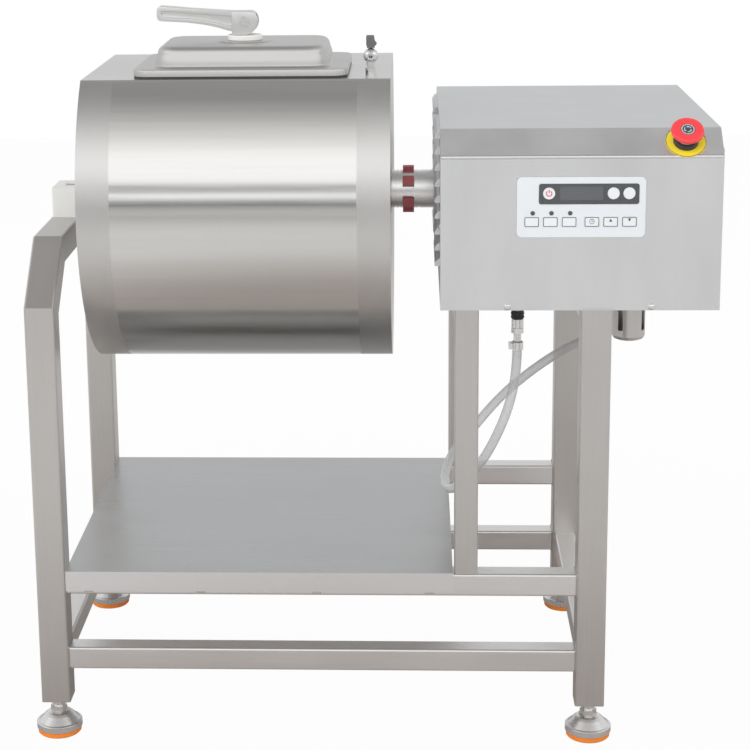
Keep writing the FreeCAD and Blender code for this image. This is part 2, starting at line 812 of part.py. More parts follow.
def drafted_box(name, low, length, width, height, draft, corner, rounding):
    """A box around the lid's middle that narrows towards its top, with rounded edges."""
    base = DOCUMENT.addObject("Part::Wedge", name + "_blank")
    bottom_x, bottom_y = "(%s) / 2" % length, "(%s) / 2" % width
    sides = {
        "Xmin": "-(%s)" % bottom_x, "Xmax": bottom_x, "Ymin": "0", "Ymax": height,
        "Zmin": "-(%s)" % bottom_y, "Zmax": bottom_y,
        "X2min": "%s - %s" % (draft, bottom_x), "X2max": "%s - %s" % (bottom_x, draft),
        "Z2min": "%s - %s" % (draft, bottom_y), "Z2max": "%s - %s" % (bottom_y, draft),
    }
    for side, text in sides.items():
        base.setExpression(side, formula(text))
    base.Placement.Rotation = FreeCAD.Rotation(X_AXIS, 90)
    place(base, "lid_x", "lid_y", low)
    DOCUMENT.recompute()
    top = base.Shape.BoundBox.ZMax
    edges = []
    for index, edge in enumerate(base.Shape.Edges, start=1):
        if abs(edge.tangentAt(edge.FirstParameter).z) > 0.5:
            edges.append((index, value(corner), value(corner)))
        elif edge.BoundBox.ZMin > top - 0.01:
            edges.append((index, value(rounding), value(rounding)))
    thing = DOCUMENT.addObject("Part::Fillet", name)
    thing.Base = base
    thing.Edges = edges
    return thing


lip_inside = "flange_length - 2 * lid_sheet", "flange_width - 2 * lid_sheet"
lid_outside = fuse("lid_outside", [
    centred_rounded("flange_outside", "gasket_top", "flange_length", "flange_width", "flange_lip",
                    "flange_corner"),
    drafted_box("dome_outside", "flange_top", "dome_length", "dome_width", "dome_rise",
                "dome_draft", "dome_corner", "dome_round"),
    cylinder("lid_boss", ("lid_x", "lid_y", "dome_top - 1"), "boss_radius", "boss_rise + 1"),
])
lid_inside = fuse("lid_inside", [
    centred_rounded("flange_inside", "gasket_top - 1", lip_inside[0], lip_inside[1],
                    "flange_lip - lid_sheet + 1", "flange_corner - lid_sheet"),
    drafted_box("dome_inside", "flange_top - lid_sheet - 1", "dome_length - 2 * lid_sheet",
                "dome_width - 2 * lid_sheet", "dome_rise + 1", "dome_draft",
                "dome_corner - lid_sheet", "dome_round - lid_sheet"),
    cylinder("lid_hole", ("lid_x", "lid_y", "gasket_top"), "clamp_stud + running_gap",
             "dome_top + 5 - gasket_top"),
])
subpart(cut("lid_pressing", lid_outside, lid_inside), "lid")

seal_width = "18"
seal_hole = centred_rounded("seal_hole", "flat_z - 1", "flange_length - 2 * %s" % seal_width,
                            "flange_width - 2 * %s" % seal_width, "gasket_rise + flange_lip",
                            "flange_corner - 8")
seal_blank = fuse("seal_blank", [
    centred_rounded("seal_foot", "flat_z", "flange_length - 1", "flange_width - 1", "gasket_rise",
                    "flange_corner"),
    centred_rounded("seal_core", "flat_z", lip_inside[0], lip_inside[1],
                    "gasket_rise + flange_lip - lid_sheet", "flange_corner - lid_sheet"),
])
subpart(cut("seal_ring", seal_blank, seal_hole), "gasket")

boss_top = "dome_top + boss_rise"
washer = turned_upright("washer_blank", [
    ("clamp_stud + running_gap", "0"), ("washer_radius - 1.2", "0"), ("washer_radius", "1.2"),
    ("washer_radius", "washer_rise - 1.2"), ("washer_radius - 1.2", "washer_rise"),
    ("clamp_stud + running_gap", "washer_rise")], "lid_x", "lid_y", boss_top)
subpart(washer, "lid_washer")

eye_half = "(lever_fork - 2 * seat_gap) / 2"
clamp_solid = fuse("clamp_solid", [
    box("clamp_bar_blank", ("lid_x - clamp_bar_length / 2", "lid_y - clamp_bar_width / 2",
                            "clamp_bar_top - clamp_bar_rise"),
        ("clamp_bar_length", "clamp_bar_width", "clamp_bar_rise")),
    cylinder("clamp_shank", ("lid_x", "lid_y", "clamp_bar_top - 1"), "clamp_stud",
             "pin_z - clamp_bar_top - pin_radius"),
    cylinder("clamp_eye", ("lid_x", "lid_y - " + eye_half, "pin_z"), "clamp_stud + 3",
             "2 * (%s)" % eye_half, "y"),
])
pin_hole = cylinder("clamp_pin_hole", ("lid_x", "lid_y - lever_width", "pin_z"),
                    "pin_radius + running_gap", "2 * lever_width", "y")
subpart(cut("drilled_clamp", clamp_solid, pin_hole), "clamp_bar")

# The lever: a round head, an arm that tapers to the left and a fork that opens to the right.
lever_body = new_body("lever_arm", "lid_x", "lid_y + lever_width / 2", "pin_z")
lever_sketch = new_sketch(lever_body, "XZ_Plane")
draw_outline(lever_sketch, [
    ("-8", "cam_radius - 2.2"), ("-42", "cam_radius - 1.6"), ("-80", "cam_radius + 0.2"),
    ("4 - lever_reach", "cam_radius + 2.6"), ("-lever_reach", "cam_radius - 1"),
    ("1 - lever_reach", "5"), ("5 - lever_reach", "2.6"), ("-70", "-2.4"), ("-36", "-6.4"),
    ("-14", "-9.8"), ("0", "-5")])
pad(lever_body, lever_sketch, "lever_width")
head = cylinder("lever_head", ("lid_x", "lid_y - lever_width / 2", "pin_z"), "cam_radius",
                "lever_width", "y")
recess_depth = "3"
recesses = []
for side, y in (("front", "lid_y - lever_width / 2 + " + recess_depth),
                ("rear", "lid_y + lever_width / 2 + 1")):
    body = new_body(side + "_recess", "lid_x", y, "pin_z")
    outline = new_sketch(body, "XZ_Plane")
    draw_outline(outline, [
        ("-24", "cam_radius - 6"), ("-80", "cam_radius - 3.8"), ("8 - lever_reach", "cam_radius - 2"),
        ("8 - lever_reach", "7"), ("-70", "2.4"), ("-26", "-2.6")])
    pad(body, outline, "1 + " + recess_depth)
    recesses.append(body)
fork_half = "clamp_stud + 3.6"
fork = box("lever_fork_slot", ("lid_x - (%s)" % fork_half, "lid_y - lever_fork / 2",
                               "pin_z - cam_radius - 1"),
           ("cam_radius + 1 + " + fork_half, "lever_fork", "cam_radius + 1 + " + fork_half))
lever_pin_hole = cylinder("lever_pin_hole", ("lid_x", "lid_y - lever_width", "pin_z"),
                          "pin_radius + running_gap", "2 * lever_width", "y")
lever_solid = fuse("lever_solid", [lever_body, head])
lever_cuts = fuse("lever_cuts", recesses + [fork, lever_pin_hole])
subpart(cut("forked_lever", lever_solid, lever_cuts), "cam_lever")

pin_head = "lid_y - lever_width / 2 - 2.4"
pin_solid = fuse("pin_solid", [
    cylinder("pin_shank", ("lid_x", "lid_y - lever_width / 2 - 1", "pin_z"), "pin_radius",
             "lever_width + 1", "y"),
    cylinder("pin_head", ("lid_x", pin_head, "pin_z"), "pin_radius + 2.6", "2.4", "y"),
])
socket = hexagon("pin_socket", ("lid_x", pin_head + " - 1", "pin_z"), "5", "2.6")
socket.Placement.Rotation = TURNS["y"]
place(socket, "lid_x", pin_head + " - 1", "pin_z")
subpart(cut("socket_pin", pin_solid, socket), "lever_pin")


# ---------------------------------------------------------------- jaw coupling and drive shaft

sleeve_face = hub_face + " + jaw_length + seat_gap"
sleeve = turned_along("drive_turning", [
    ("0", "0"), ("0", "hub_radius"), ("6", "hub_radius"), ("6", groove), ("7.4", groove),
    ("7.4", "hub_radius"), ("sleeve_length", "hub_radius"), ("sleeve_length", "shaft_radius"),
    ("box_x + gearbox_inset + gearbox_length + 6 - (%s)" % sleeve_face, "shaft_radius"),
    ("box_x + gearbox_inset + gearbox_length + 6 - (%s)" % sleeve_face, "0")],
    sleeve_face, "0", "axis_height")
drive_jaws = claws("sleeve_jaws", hub_face + " + seat_gap", "jaw_core", "hub_radius", "jaw_angle",
                   "jaw_length", (90, 210, 330))
subpart(fuse("jawed_sleeve", [sleeve, drive_jaws]), "drive_sleeve")

spider_x = hub_face + " + seat_gap"
spider_length = "jaw_length - seat_gap"
spider_legs = [sector("spider_leg_%d" % turn, spider_x, "spider_radius", "spider_angle",
                      spider_length, turn) for turn in range(0, 360, 60)]
spider_core = cylinder("spider_middle", (spider_x, "0", "axis_height"), "spider_core",
                       spider_length, "x")
spider_bore = cylinder("spider_bore", (spider_x + " - 1", "0", "axis_height"), "spider_core / 2",
                       spider_length + " + 2", "x")
subpart(cut("bored_spider", fuse("spider_solid", spider_legs + [spider_core]), spider_bore),
        "coupling_spider")


# ---------------------------------------------------------------- drive housing

cover_x = "box_x + cover_sheet"
cover_length = "housing_length - 2 * cover_sheet"
tray_size = (cover_length, "box_back - box_y - 2 * cover_sheet")
tray_blank = fuse("tray_blank", [
    box("tray_floor", (cover_x, "box_y + cover_sheet", "deck_height"), tray_size + ("tray_sheet",)),
    box("tray_front_lip", (cover_x, "box_y + cover_sheet", "deck_height"),
        (cover_length, "tray_sheet", "tray_lip")),
    box("tray_rear_lip", (cover_x, "box_back - cover_sheet - tray_sheet", "deck_height"),
        (cover_length, "tray_sheet", "tray_lip")),
])
coupler_place = ("box_x + coupler_x", "front_y + coupler_y")
port_place = ("box_x + port_x", "front_y + port_y")
exhaust_place = ("box_x + exhaust_x", "front_y + exhaust_y")
tray_holes = fuse("tray_holes", [
    cylinder("coupler_hole", coupler_place + ("deck_height - 1",), "coupler_nipple + running_gap",
             "tray_sheet + 2"),
    cylinder("port_hole", port_place + ("deck_height - 1",), "coupler_nipple + running_gap",
             "tray_sheet + 2"),
    cylinder("exhaust_hole", exhaust_place + ("deck_height - 1",), "exhaust_radius + seat_gap",
             "tray_sheet + 2"),
])
subpart(cut("drilled_tray", tray_blank, tray_holes), "machine_tray")

lower_bend = "cover_sheet * tan((90 deg - slope_angle) / 2)"
upper_bend = "cover_sheet * tan(slope_angle / 2)"
roof_end = "box_back - cover_sheet"
cover_body = new_body("cover_bend", cover_x)
cover_sketch = new_sketch(cover_body, "YZ_Plane")
draw_outline(cover_sketch, [
    ("box_y", "deck_height"), ("box_y", "slope_z"), ("box_y + slope_depth", "roof_z"),
    (roof_end, "roof_z"), (roof_end, "roof_z - cover_sheet"),
    ("box_y + slope_depth + " + upper_bend, "roof_z - cover_sheet"),
    ("box_y + cover_sheet", "slope_z - " + lower_bend), ("box_y + cover_sheet", "deck_height")])
pad(cover_body, cover_sketch, cover_length)

panel_left = "box_x + panel_x - panel_length / 2"
panel_low = "deck_height + panel_z - panel_rise / 2"
panel_front = "box_y - panel_proud"


def panel_box(name, x, z, length, rise, front, depth, corner):
    """A plate with rounded corners that faces the front."""
    return rounded_box(name, (x, front, z), (length, depth, rise), corner, "y")


def on_slope(thing, away="0"):
    """Stand an upright thing on the middle of the slope, some way off along its normal."""
    thing.Placement.Rotation = FreeCAD.Rotation(X_AXIS, value("slope_angle"))
    thing.setExpression("Placement.Rotation.Angle", formula("slope_angle"))
    return place(thing, "box_x + stop_x", "box_y + slope_depth / 2 - (%s) * sin(slope_angle)" % away,
                 "slope_z + slope_rise / 2 + (%s) * cos(slope_angle)" % away)


stem_hole = "stop_stem + 0.5"
slope_hole = on_slope(cylinder("slope_hole", ("0", "0", "0"), stem_hole, "20"), "-10")
cover_cuts = fuse("cover_cuts", [
    panel_box("panel_window", panel_left + " - key_gap", panel_low + " - key_gap",
              "panel_length + 2 * key_gap", "panel_rise + 2 * key_gap", "box_y - 1",
              "cover_sheet + 2", "panel_corner"),
    slope_hole,
])
subpart(cut("housing_bend", cover_body, cover_cuts), "housing_cover")


def side_plate(name, x):
    """One end of the housing, cut from flat sheet."""
    body = new_body(name, x)
    outline = new_sketch(body, "YZ_Plane")
    draw_outline(outline, [
        ("box_y", "deck_height"), ("box_back", "deck_height"), ("box_back", "roof_z"),
        ("box_y + slope_depth", "roof_z"), ("box_y", "slope_z")])
    pad(body, outline, "cover_sheet")
    return body


def louvre_column(name, y, length, outline):
    """One column of louvres, or of the spaces behind them."""
    body = new_body(name, "box_x", y)
    rows = new_sketch(body, "XZ_Plane")
    for row in range(9):
        middle = "deck_height + louvre_low + %d * louvre_pitch" % row
        draw_outline(rows, [(x, "%s + %s" % (middle, z)) for x, z in outline])
    body.AllowCompound = True
    pad(body, rows, length)
    return body


HOOD = [("0", "louvre_reach + 1"), ("-louvre_reach * 0.55", "louvre_reach * 0.8"),
        ("-louvre_reach", "louvre_reach * 0.15"), ("-louvre_reach", "-louvre_reach * 0.45"),
        ("0", "-louvre_reach * 0.45")]
VOID = [("cover_sheet * 2", "louvre_reach - louvre_sheet / 2"), ("0", "louvre_reach - louvre_sheet / 2"),
        ("louvre_sheet - louvre_reach", "louvre_reach * 0.05"),
        ("louvre_sheet - louvre_reach", "-louvre_reach * 0.6"), ("0", "-louvre_reach * 0.6"),
        ("0", "-louvre_reach * 0.3"), ("cover_sheet * 2", "-louvre_reach * 0.3")]
hoods = []
voids = []
for side, column_start, column_end in (
        ("front", "box_y + louvre_front", "-louvre_gap / 2"),
        ("rear", "louvre_gap / 2", "box_back - louvre_rear")):
    column_length = "%s - (%s)" % (column_end, column_start)
    hoods.append(louvre_column(side + "_hoods", column_end, column_length, HOOD))
    voids.append(louvre_column(side + "_voids", column_end + " - louvre_sheet",
                               column_length + " - 2 * louvre_sheet", VOID))
sleeve_hole = cylinder("sleeve_hole", ("box_x - 1", "0", "axis_height"),
                       "hub_radius + sleeve_clearance", "cover_sheet + 2", "x")
left_blank = fuse("left_blank", [side_plate("left_plate", "box_x")] + hoods)
subpart(cut("left_louvred", left_blank, fuse("left_cuts", voids + [sleeve_hole])),
        "left_side_panel")
subpart(side_plate("right_plate", "housing_right + frame_x - cover_sheet"), "right_side_panel")

gland_place = ("box_x + housing_length * 0.85", "box_back - cover_sheet", "deck_height + 45")
rear_sheet = box("rear_sheet", (cover_x, "box_back - cover_sheet", "deck_height"),
                 (cover_length, "cover_sheet", "roof_z - deck_height"))
rear_hole = cylinder("rear_hole", (gland_place[0], "box_back - 5", gland_place[2]),
                     "cable_gland - 2", "10", "y")
subpart(cut("rear_drilled", rear_sheet, rear_hole), "rear_panel")

gland_solid = fuse("gland_solid", [
    cylinder("gland_neck", (gland_place[0], "box_back - 10", gland_place[2]), "cable_gland - 2",
             "20", "y"),
    cylinder("gland_collar", (gland_place[0], "box_back", gland_place[2]), "cable_gland + 2", "6",
             "y"),
    cylinder("gland_nose", (gland_place[0], "box_back", gland_place[2]), "cable_gland", "14", "y"),
])
gland_bore = cylinder("gland_bore", (gland_place[0], "box_back - 12", gland_place[2]),
                      "cable_gland / 2", "28", "y")
subpart(cut("gland_bored", gland_solid, gland_bore), "cable_gland")

# Domed screw heads on the housing: where, and along which way they stand out.
SCREW = [("0", "0"), ("screw_radius", "0"), ("screw_radius", "screw_rise * 0.35"),
         ("screw_radius * 0.75", "screw_rise * 0.8"), ("screw_radius * 0.4", "screw_rise"),
         ("0", "screw_rise")]
screw_low = "deck_height + screw_radius + 0.3"
SCREWS = (
    ("front", "box_x + 83.7", "box_y", screw_low),
    ("front", "box_x + 262.5", "box_y", screw_low),
    ("right", "frame_x + housing_right", "box_y + 17", "slope_z + 4"),
    ("right", "frame_x + housing_right", "box_y + 17", "deck_height + 104"),
    ("right", "frame_x + housing_right", "box_back - 17", "slope_z + 4"),
    ("right", "frame_x + housing_right", "box_back - 17", "deck_height + 104"),
    ("left", "box_x", "box_y + 17", "deck_height + 104"),
    ("left", "box_x", "box_back - 17", "deck_height + 104"),
    ("back", "box_x + 40", "box_back", "roof_z - 14"),
    ("back", "box_x + housing_length - 40", "box_back", "roof_z - 14"),
)
FACING = {
    "front": FreeCAD.Rotation(X_AXIS, 90), "back": FreeCAD.Rotation(X_AXIS, -90),
    "right": FreeCAD.Rotation(Y_AXIS, 90), "left": FreeCAD.Rotation(Y_AXIS, -90),
}
screws = []
for number, (side, x, y, z) in enumerate(SCREWS, start=1):
    screw = turned_upright("screw_%d" % number, SCREW, x, y, z)
    screw.Placement.Rotation = FACING[side]
    screws.append(place(screw, x, y, z))
subpart(group("screw_set", screws), "fasteners")


# ---------------------------------------------------------------- control panel and its keys

KEYS = []
for number in range(3):
    KEYS.append(("key_lower_%d" % (number + 1), "key_first_x + %d * key_pitch" % number, "key_z"))
for number in range(3):
    KEYS.append(("key_lower_%d" % (number + 4), "key_second_x + %d * key_pitch" % number, "key_z"))
ROUND_KEYS = (
    ("key_power", "power_x", "dial_z"),
    ("key_minus", "dial_x", "dial_z"),
    ("key_plus", "dial_x + dial_pitch", "dial_z"),
)
panel_blank = panel_box("panel_blank", panel_left, panel_low, "panel_length", "panel_rise",
                        panel_front, "panel_sheet", "panel_corner")
display_blank = panel_box("display_blank", "box_x + display_x", "deck_height + display_z",
                          "display_length", "display_rise", panel_front + " - display_sheet",
                          "display_sheet", "3")
pocket_tools = []
display_tools = []
key_parts = []
for node, x, z in KEYS:
    left = "box_x + %s - key_length / 2" % x
    low = "deck_height + %s - key_rise / 2" % z
    pocket_tools.append(panel_box(node + "_pocket", left + " - key_gap", low + " - key_gap",
                                  "key_length + 2 * key_gap", "key_rise + 2 * key_gap",
                                  panel_front + " - 1", "key_pocket + 1", "2.2"))
    key_parts.append((node, panel_box(node + "_cap", left, low, "key_length", "key_rise",
                                      panel_front + " - key_proud", "key_sheet", "2")))
for node, x, z in ROUND_KEYS:
    centre_x, centre_z = "box_x + " + x, "deck_height + " + z
    front = panel_front + " - key_proud - display_sheet"
    pocket_tools.append(cylinder(node + "_pocket", (centre_x, panel_front + " - 1", centre_z),
                                 "round_key + key_gap", "key_pocket + 1", "y"))
    display_tools.append(cylinder(node + "_window", (centre_x, panel_front + " - 2", centre_z),
                                  "round_key + key_gap", "4", "y"))
    key_parts.append((node, cylinder(node + "_cap", (centre_x, front, centre_z), "round_key",
                                     "key_sheet + display_sheet", "y")))
subpart(cut("panel_pressing", panel_blank, fuse("key_pockets", pocket_tools)), "control_panel")

lamps = []
for number in range(3):
    lamps.append(cylinder("lamp_%d" % (number + 1),
                          ("box_x + lamp_x + %d * key_pitch" % number,
                           panel_front + " - display_sheet", "deck_height + lamp_z"),
                          "lamp_radius", "display_sheet", "y"))
strip = cut("display_holed", display_blank, fuse("display_holes", display_tools))
subpart(group("display_set", [strip] + lamps), "display_strip")
for node, key in key_parts:
    subpart(key, node)


# ---------------------------------------------------------------- emergency stop

STOP_PARTS = (
    ("estop_plate", [
        (stem_hole, "0"), ("stop_plate", "0"), ("stop_plate", "0.7"), ("stop_plate - 0.4", "1"),
        (stem_hole, "1")]),
    ("estop_collar", [
        ("stop_stem + running_gap", "1"), ("stop_collar", "1"), ("stop_collar", "5.6"),
        ("stop_collar - 1.4", "7"), ("stop_stem + running_gap", "7")]),
    ("estop_stem", [
        ("0", "-8"), ("stop_stem", "-8"), ("stop_stem", "12 - seat_gap"),
        ("stop_stem / 2", "12 - seat_gap"), ("stop_stem / 2", "18"), ("0", "18")]),
    ("estop_mushroom", [
        ("stop_stem / 2 + running_gap", "12"), ("stop_button - 1.5", "12"),
        ("stop_button", "13.5"), ("stop_button", "17.5"), ("stop_button - 0.8", "19.4"),
        ("stop_button - 2.6", "21.3"), ("stop_button - 5.6", "22.8"),
        ("stop_button - 9.5", "23.7"), ("stop_button - 14", "24"), ("0", "24"), ("0", "18.3"),
        ("stop_stem / 2 + running_gap", "18.3")]),
)
for node, profile in STOP_PARTS:
    turned = turned_upright(node + "_turning", profile, "0", "0")
    subpart(on_slope(turned), node)


# ---------------------------------------------------------------- machinery inside the housing

gearbox_x = "box_x + gearbox_inset"
gearbox_low = "axis_height - gearbox_drop"
bracket_inside = "4"
gear_solid = fuse("gear_solid", [
    box("gearbox", (gearbox_x, "-gearbox_depth / 2", gearbox_low),
        ("gearbox_length", "gearbox_depth", "gearbox_drop + gearbox_rise")),
    box("gear_bracket", (gearbox_x, "-gearbox_depth / 2 + 5", "tray_top"),
        ("gearbox_length", "gearbox_depth - 10", gearbox_low + " - tray_top")),
    cylinder("gear_motor_case", (gearbox_x + " + gearbox_length / 2", "gearbox_depth / 2 - 2",
                                 "axis_height + motor_lift"),
             "motor_radius", "box_back - motor_clearance - gearbox_depth / 2 + 2", "y"),
])
gear_cuts = fuse("gear_cuts", [
    cylinder("gearbox_bore", (gearbox_x + " - 1", "0", "axis_height"),
             "shaft_radius + running_gap", "gearbox_length + 2", "x"),
    box("bracket_hollow", (gearbox_x + " - 1", "-gearbox_depth / 2 + 5 + " + bracket_inside,
                           "tray_top - 1"),
        ("gearbox_length + 2", "gearbox_depth - 10 - 2 * " + bracket_inside,
         gearbox_low + " - tray_top + 1 - " + bracket_inside)),
])
subpart(cut("gear_unit", gear_solid, gear_cuts), "gear_motor")

pump_left = "box_x + pump_x"
pump_front = "box_y + pump_y"
pump_low = "tray_top + pump_feet"
pump_things = [
    box("pump_block", (pump_left, pump_front, pump_low), ("pump_length", "pump_depth", "pump_rise")),
    cylinder("pump_motor_case", (pump_left + " + pump_length / 2", pump_front + " + pump_depth - 2",
                                 pump_low + " + pump_rise / 2"), "pump_motor", "pump_depth", "y"),
    cylinder("exhaust_pipe", exhaust_place + ("deck_height - 14",), "exhaust_radius",
             pump_low + " - deck_height + 16"),
]
for column in ("14", "pump_length - 14"):
    for line in ("14", "pump_depth - 14"):
        pump_things.append(cylinder("pump_foot_%d" % len(pump_things),
                                    ("%s + %s" % (pump_left, column),
                                     "%s + %s" % (pump_front, line), "tray_top"),
                                    "10", "pump_feet + 2"))
exhaust_bore = cylinder("exhaust_bore", exhaust_place + ("deck_height - 15",),
                        "exhaust_radius - 2", "28")
subpart(cut("pump_unit", fuse("pump_solid", pump_things), exhaust_bore), "vacuum_pump")

cup = turned_upright("guard_cup", [
    ("0", "0"), ("guard_radius - 6", "0"), ("guard_radius - 2", "1.6"), ("guard_radius", "5.5"),
    ("guard_radius", "guard_drop"), ("guard_radius - guard_wall", "guard_drop"),
    ("guard_radius - guard_wall", "6"), ("guard_radius - 3", "3"), ("guard_radius - 6.5", "1.4"),
    ("0", "1.4")], *exhaust_place, z="deck_height - guard_drop")
slots = []
for number, turn in enumerate((55, -35), start=1):
    slit = DOCUMENT.addObject("Part::Box", "guard_slit_%d" % number)
    slit.setExpression("Length", formula("3 * guard_radius"))
    slit.setExpression("Width", formula("guard_slot"))
    slit.setExpression("Height", formula("guard_drop - 26"))
    slit.Placement.Rotation = FreeCAD.Rotation(Z_AXIS, turn)
    half_length, half_width = "1.5 * guard_radius", "guard_slot / 2"
    place(slit,
          "%s - %s * cos(%d deg) + %s * sin(%d deg)" % (
              exhaust_place[0], half_length, turn, half_width, turn),
          "%s - %s * sin(%d deg) - %s * cos(%d deg)" % (
              exhaust_place[1], half_length, turn, half_width, turn),
          "deck_height - guard_drop + 14")
    slots.append(slit)
subpart(cut("guard_slotted", cup, fuse("guard_slits", slots)), "exhaust_guard")


# ---------------------------------------------------------------- hose, quick coupler and port

hose_start = "-coupler_drop"
ring_low = "seat_gap - 38.5"
fixed_coupler = turned_upright("coupler_turning", [
    ("0", hose_start), ("coupler_nipple", hose_start), ("coupler_nipple", "-58.5"),
    ("coupler_nipple + 1.5", "-58.5"), ("coupler_nipple + 1.5", "-51.5"),
    ("coupler_collar - 0.8", "-51.5"), ("coupler_collar", "-50.7"),
    ("coupler_collar", "-39.3"), ("coupler_collar - 0.8", "-38.5"), ("coupler_core", "-38.5"),
    ("coupler_core", "-24"), ("coupler_nipple", "-24"), ("coupler_nipple", "12"), ("0", "12")],
    *coupler_place, z="deck_height")
coupler_solid = fuse("coupler_solid", [
    fixed_coupler,
    hexagon("coupler_top_hex", coupler_place + ("deck_height - 10",), "20", "10"),
    hexagon("coupler_low_hex", coupler_place + ("deck_height - 58.5",), "14", "7"),
])
port_solid = fuse("port_solid", [
    cylinder("port_nipple", port_place + ("deck_height - port_drop",), "coupler_nipple",
             "port_drop + 12"),
    hexagon("port_hex", port_place + ("deck_height - 12",), "16", "12"),
])


def hose_clamp(name, spot, z):
    """A band clamp with its screw housing on the left."""
    band_radius = "hose_radius + seat_gap"
    band = fuse(name + "_band", [
        cylinder(name + "_outside", spot + (z,), "hose_radius + 1.6", "clamp_width"),
        box(name + "_screw", (spot[0] + " - hose_radius - 5", spot[1] + " - 6", z + " + 1"),
            ("5", "12", "clamp_width - 2")),
    ])
    inside = cylinder(name + "_inside", spot + (z + " - 1",), band_radius, "clamp_width + 2")
    return cut(name, band, inside)


first_clamp = hose_clamp("coupler_clamp", coupler_place,
                         "deck_height - coupler_drop - clamp_width - 1")
second_clamp = hose_clamp("port_clamp", port_place, "deck_height - port_drop - clamp_width - 1")
subpart(group("fitting_set", [coupler_solid, port_solid, first_clamp, second_clamp]),
        "hose_fittings")

ring_bore = "coupler_core + running_gap"
ring = turned_upright("ring_turning", [
    (ring_bore, ring_low), ("ring_radius - 0.8", ring_low), ("ring_radius", ring_low + " + 0.8"),
    ("ring_radius", "3 - 38.5"), ("ring_radius - 0.7", "3.6 - 38.5"),
    ("ring_radius - 0.7", "5 - 38.5"), ("ring_radius", "5.6 - 38.5"),
    ("ring_radius", "8 - 38.5"), ("ring_radius - 0.7", "8.6 - 38.5"),
    ("ring_radius - 0.7", "ring_rise - 38.5"), (ring_bore, "ring_rise - 38.5")],
    *coupler_place, z="deck_height")
subpart(ring, "coupler_ring")

# The soft hose hangs in a loop: offsets in X, Y and Z from its end at the coupler.
HOSE_ROUTE = (
    (0, 0, 0), (0, 0, -37), (-9, -16.5, -78), (-24, -29, -114.5), (-43, -30, -151.5),
    (-67.5, -14, -190), (-89.5, 21.5, -215), (-95.5, 69.5, -214.5), (-86.5, 110, -195),
    (-58, 136.5, -167.5), (-15.5, 147.5, -118.5), (30, 144, -78), (70, 110, -40),
    (103, 102, -22.5), (121, 99, 7),
)
hose_origin = vector(coupler_place[0], coupler_place[1], "deck_height - coupler_drop")
route = [hose_origin + FreeCAD.Vector(*offset) for offset in HOSE_ROUTE]
route.append(vector(port_place[0], port_place[1], "deck_height - port_drop"))
BEND_SHARE = 0.45


def bent_path(points):
    """Straight runs joined by tangent arcs."""
    pieces = []
    start = points[0]
    smallest = None
    for before, corner, after in zip(points, points[1:], points[2:]):
        towards = (before - corner).normalize()
        onwards = (after - corner).normalize()
        half_turn = (math.pi - towards.getAngle(onwards)) / 2
        reach = BEND_SHARE * min((before - corner).Length, (after - corner).Length)
        radius = reach / math.tan(half_turn)
        smallest = radius if smallest is None else min(smallest, radius)
        bisector = (towards + onwards).normalize()
        centre = corner + bisector * (radius / math.cos(half_turn))
        first, last = corner + towards * reach, corner + onwards * reach
        middle = centre - bisector * radius
        pieces.append(Part.LineSegment(start, first).toShape())
        pieces.append(Part.Arc(first, middle, last).toShape())
        start = last
    pieces.append(Part.LineSegment(start, points[-1]).toShape())
    return Part.Wire(pieces), smallest


path, tightest_bend = bent_path(route)
section = Part.Wire(Part.makeCircle(value("hose_radius"), route[0], route[1] - route[0]))
hose_shape = path.makePipeShell([section], True, False)
subpart(shaped("hose_sweep", hose_shape), "hose")
hose_area = math.pi * value("hose_radius") ** 2
print("hose: length %.1f, tightest bend %.1f, volume %.0f against %.0f" % (
    path.Length, tightest_bend, hose_shape.Volume, hose_area * path.Length))


# ---------------------------------------------------------------- check and write

DOCUMENT.recompute()
problems = []
for thing in DOCUMENT.Objects:
    if "Invalid" in thing.State or "Error" in thing.State:
        problems.append("%s: %s" % (thing.Name, thing.State))
for thing in SUBPARTS:
    if thing.Shape.isNull() or not thing.Shape.isValid() or thing.Shape.Volume <= 0:
        problems.append("%s: bad shape" % thing.Label)
if problems:
    raise RuntimeError("; ".join(problems))
os.makedirs("parts", exist_ok=True)
for thing in SUBPARTS:
    thing.Shape.exportStep("parts/%s.step" % thing.Label)
    print("%s: %d solids, %.0f mm3" % (thing.Label, len(thing.Shape.Solids), thing.Shape.Volume))
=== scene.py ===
import math

import bmesh
import bpy
from bpy.props import FloatProperty, FloatVectorProperty, PointerProperty
from mathutils import Matrix, Vector


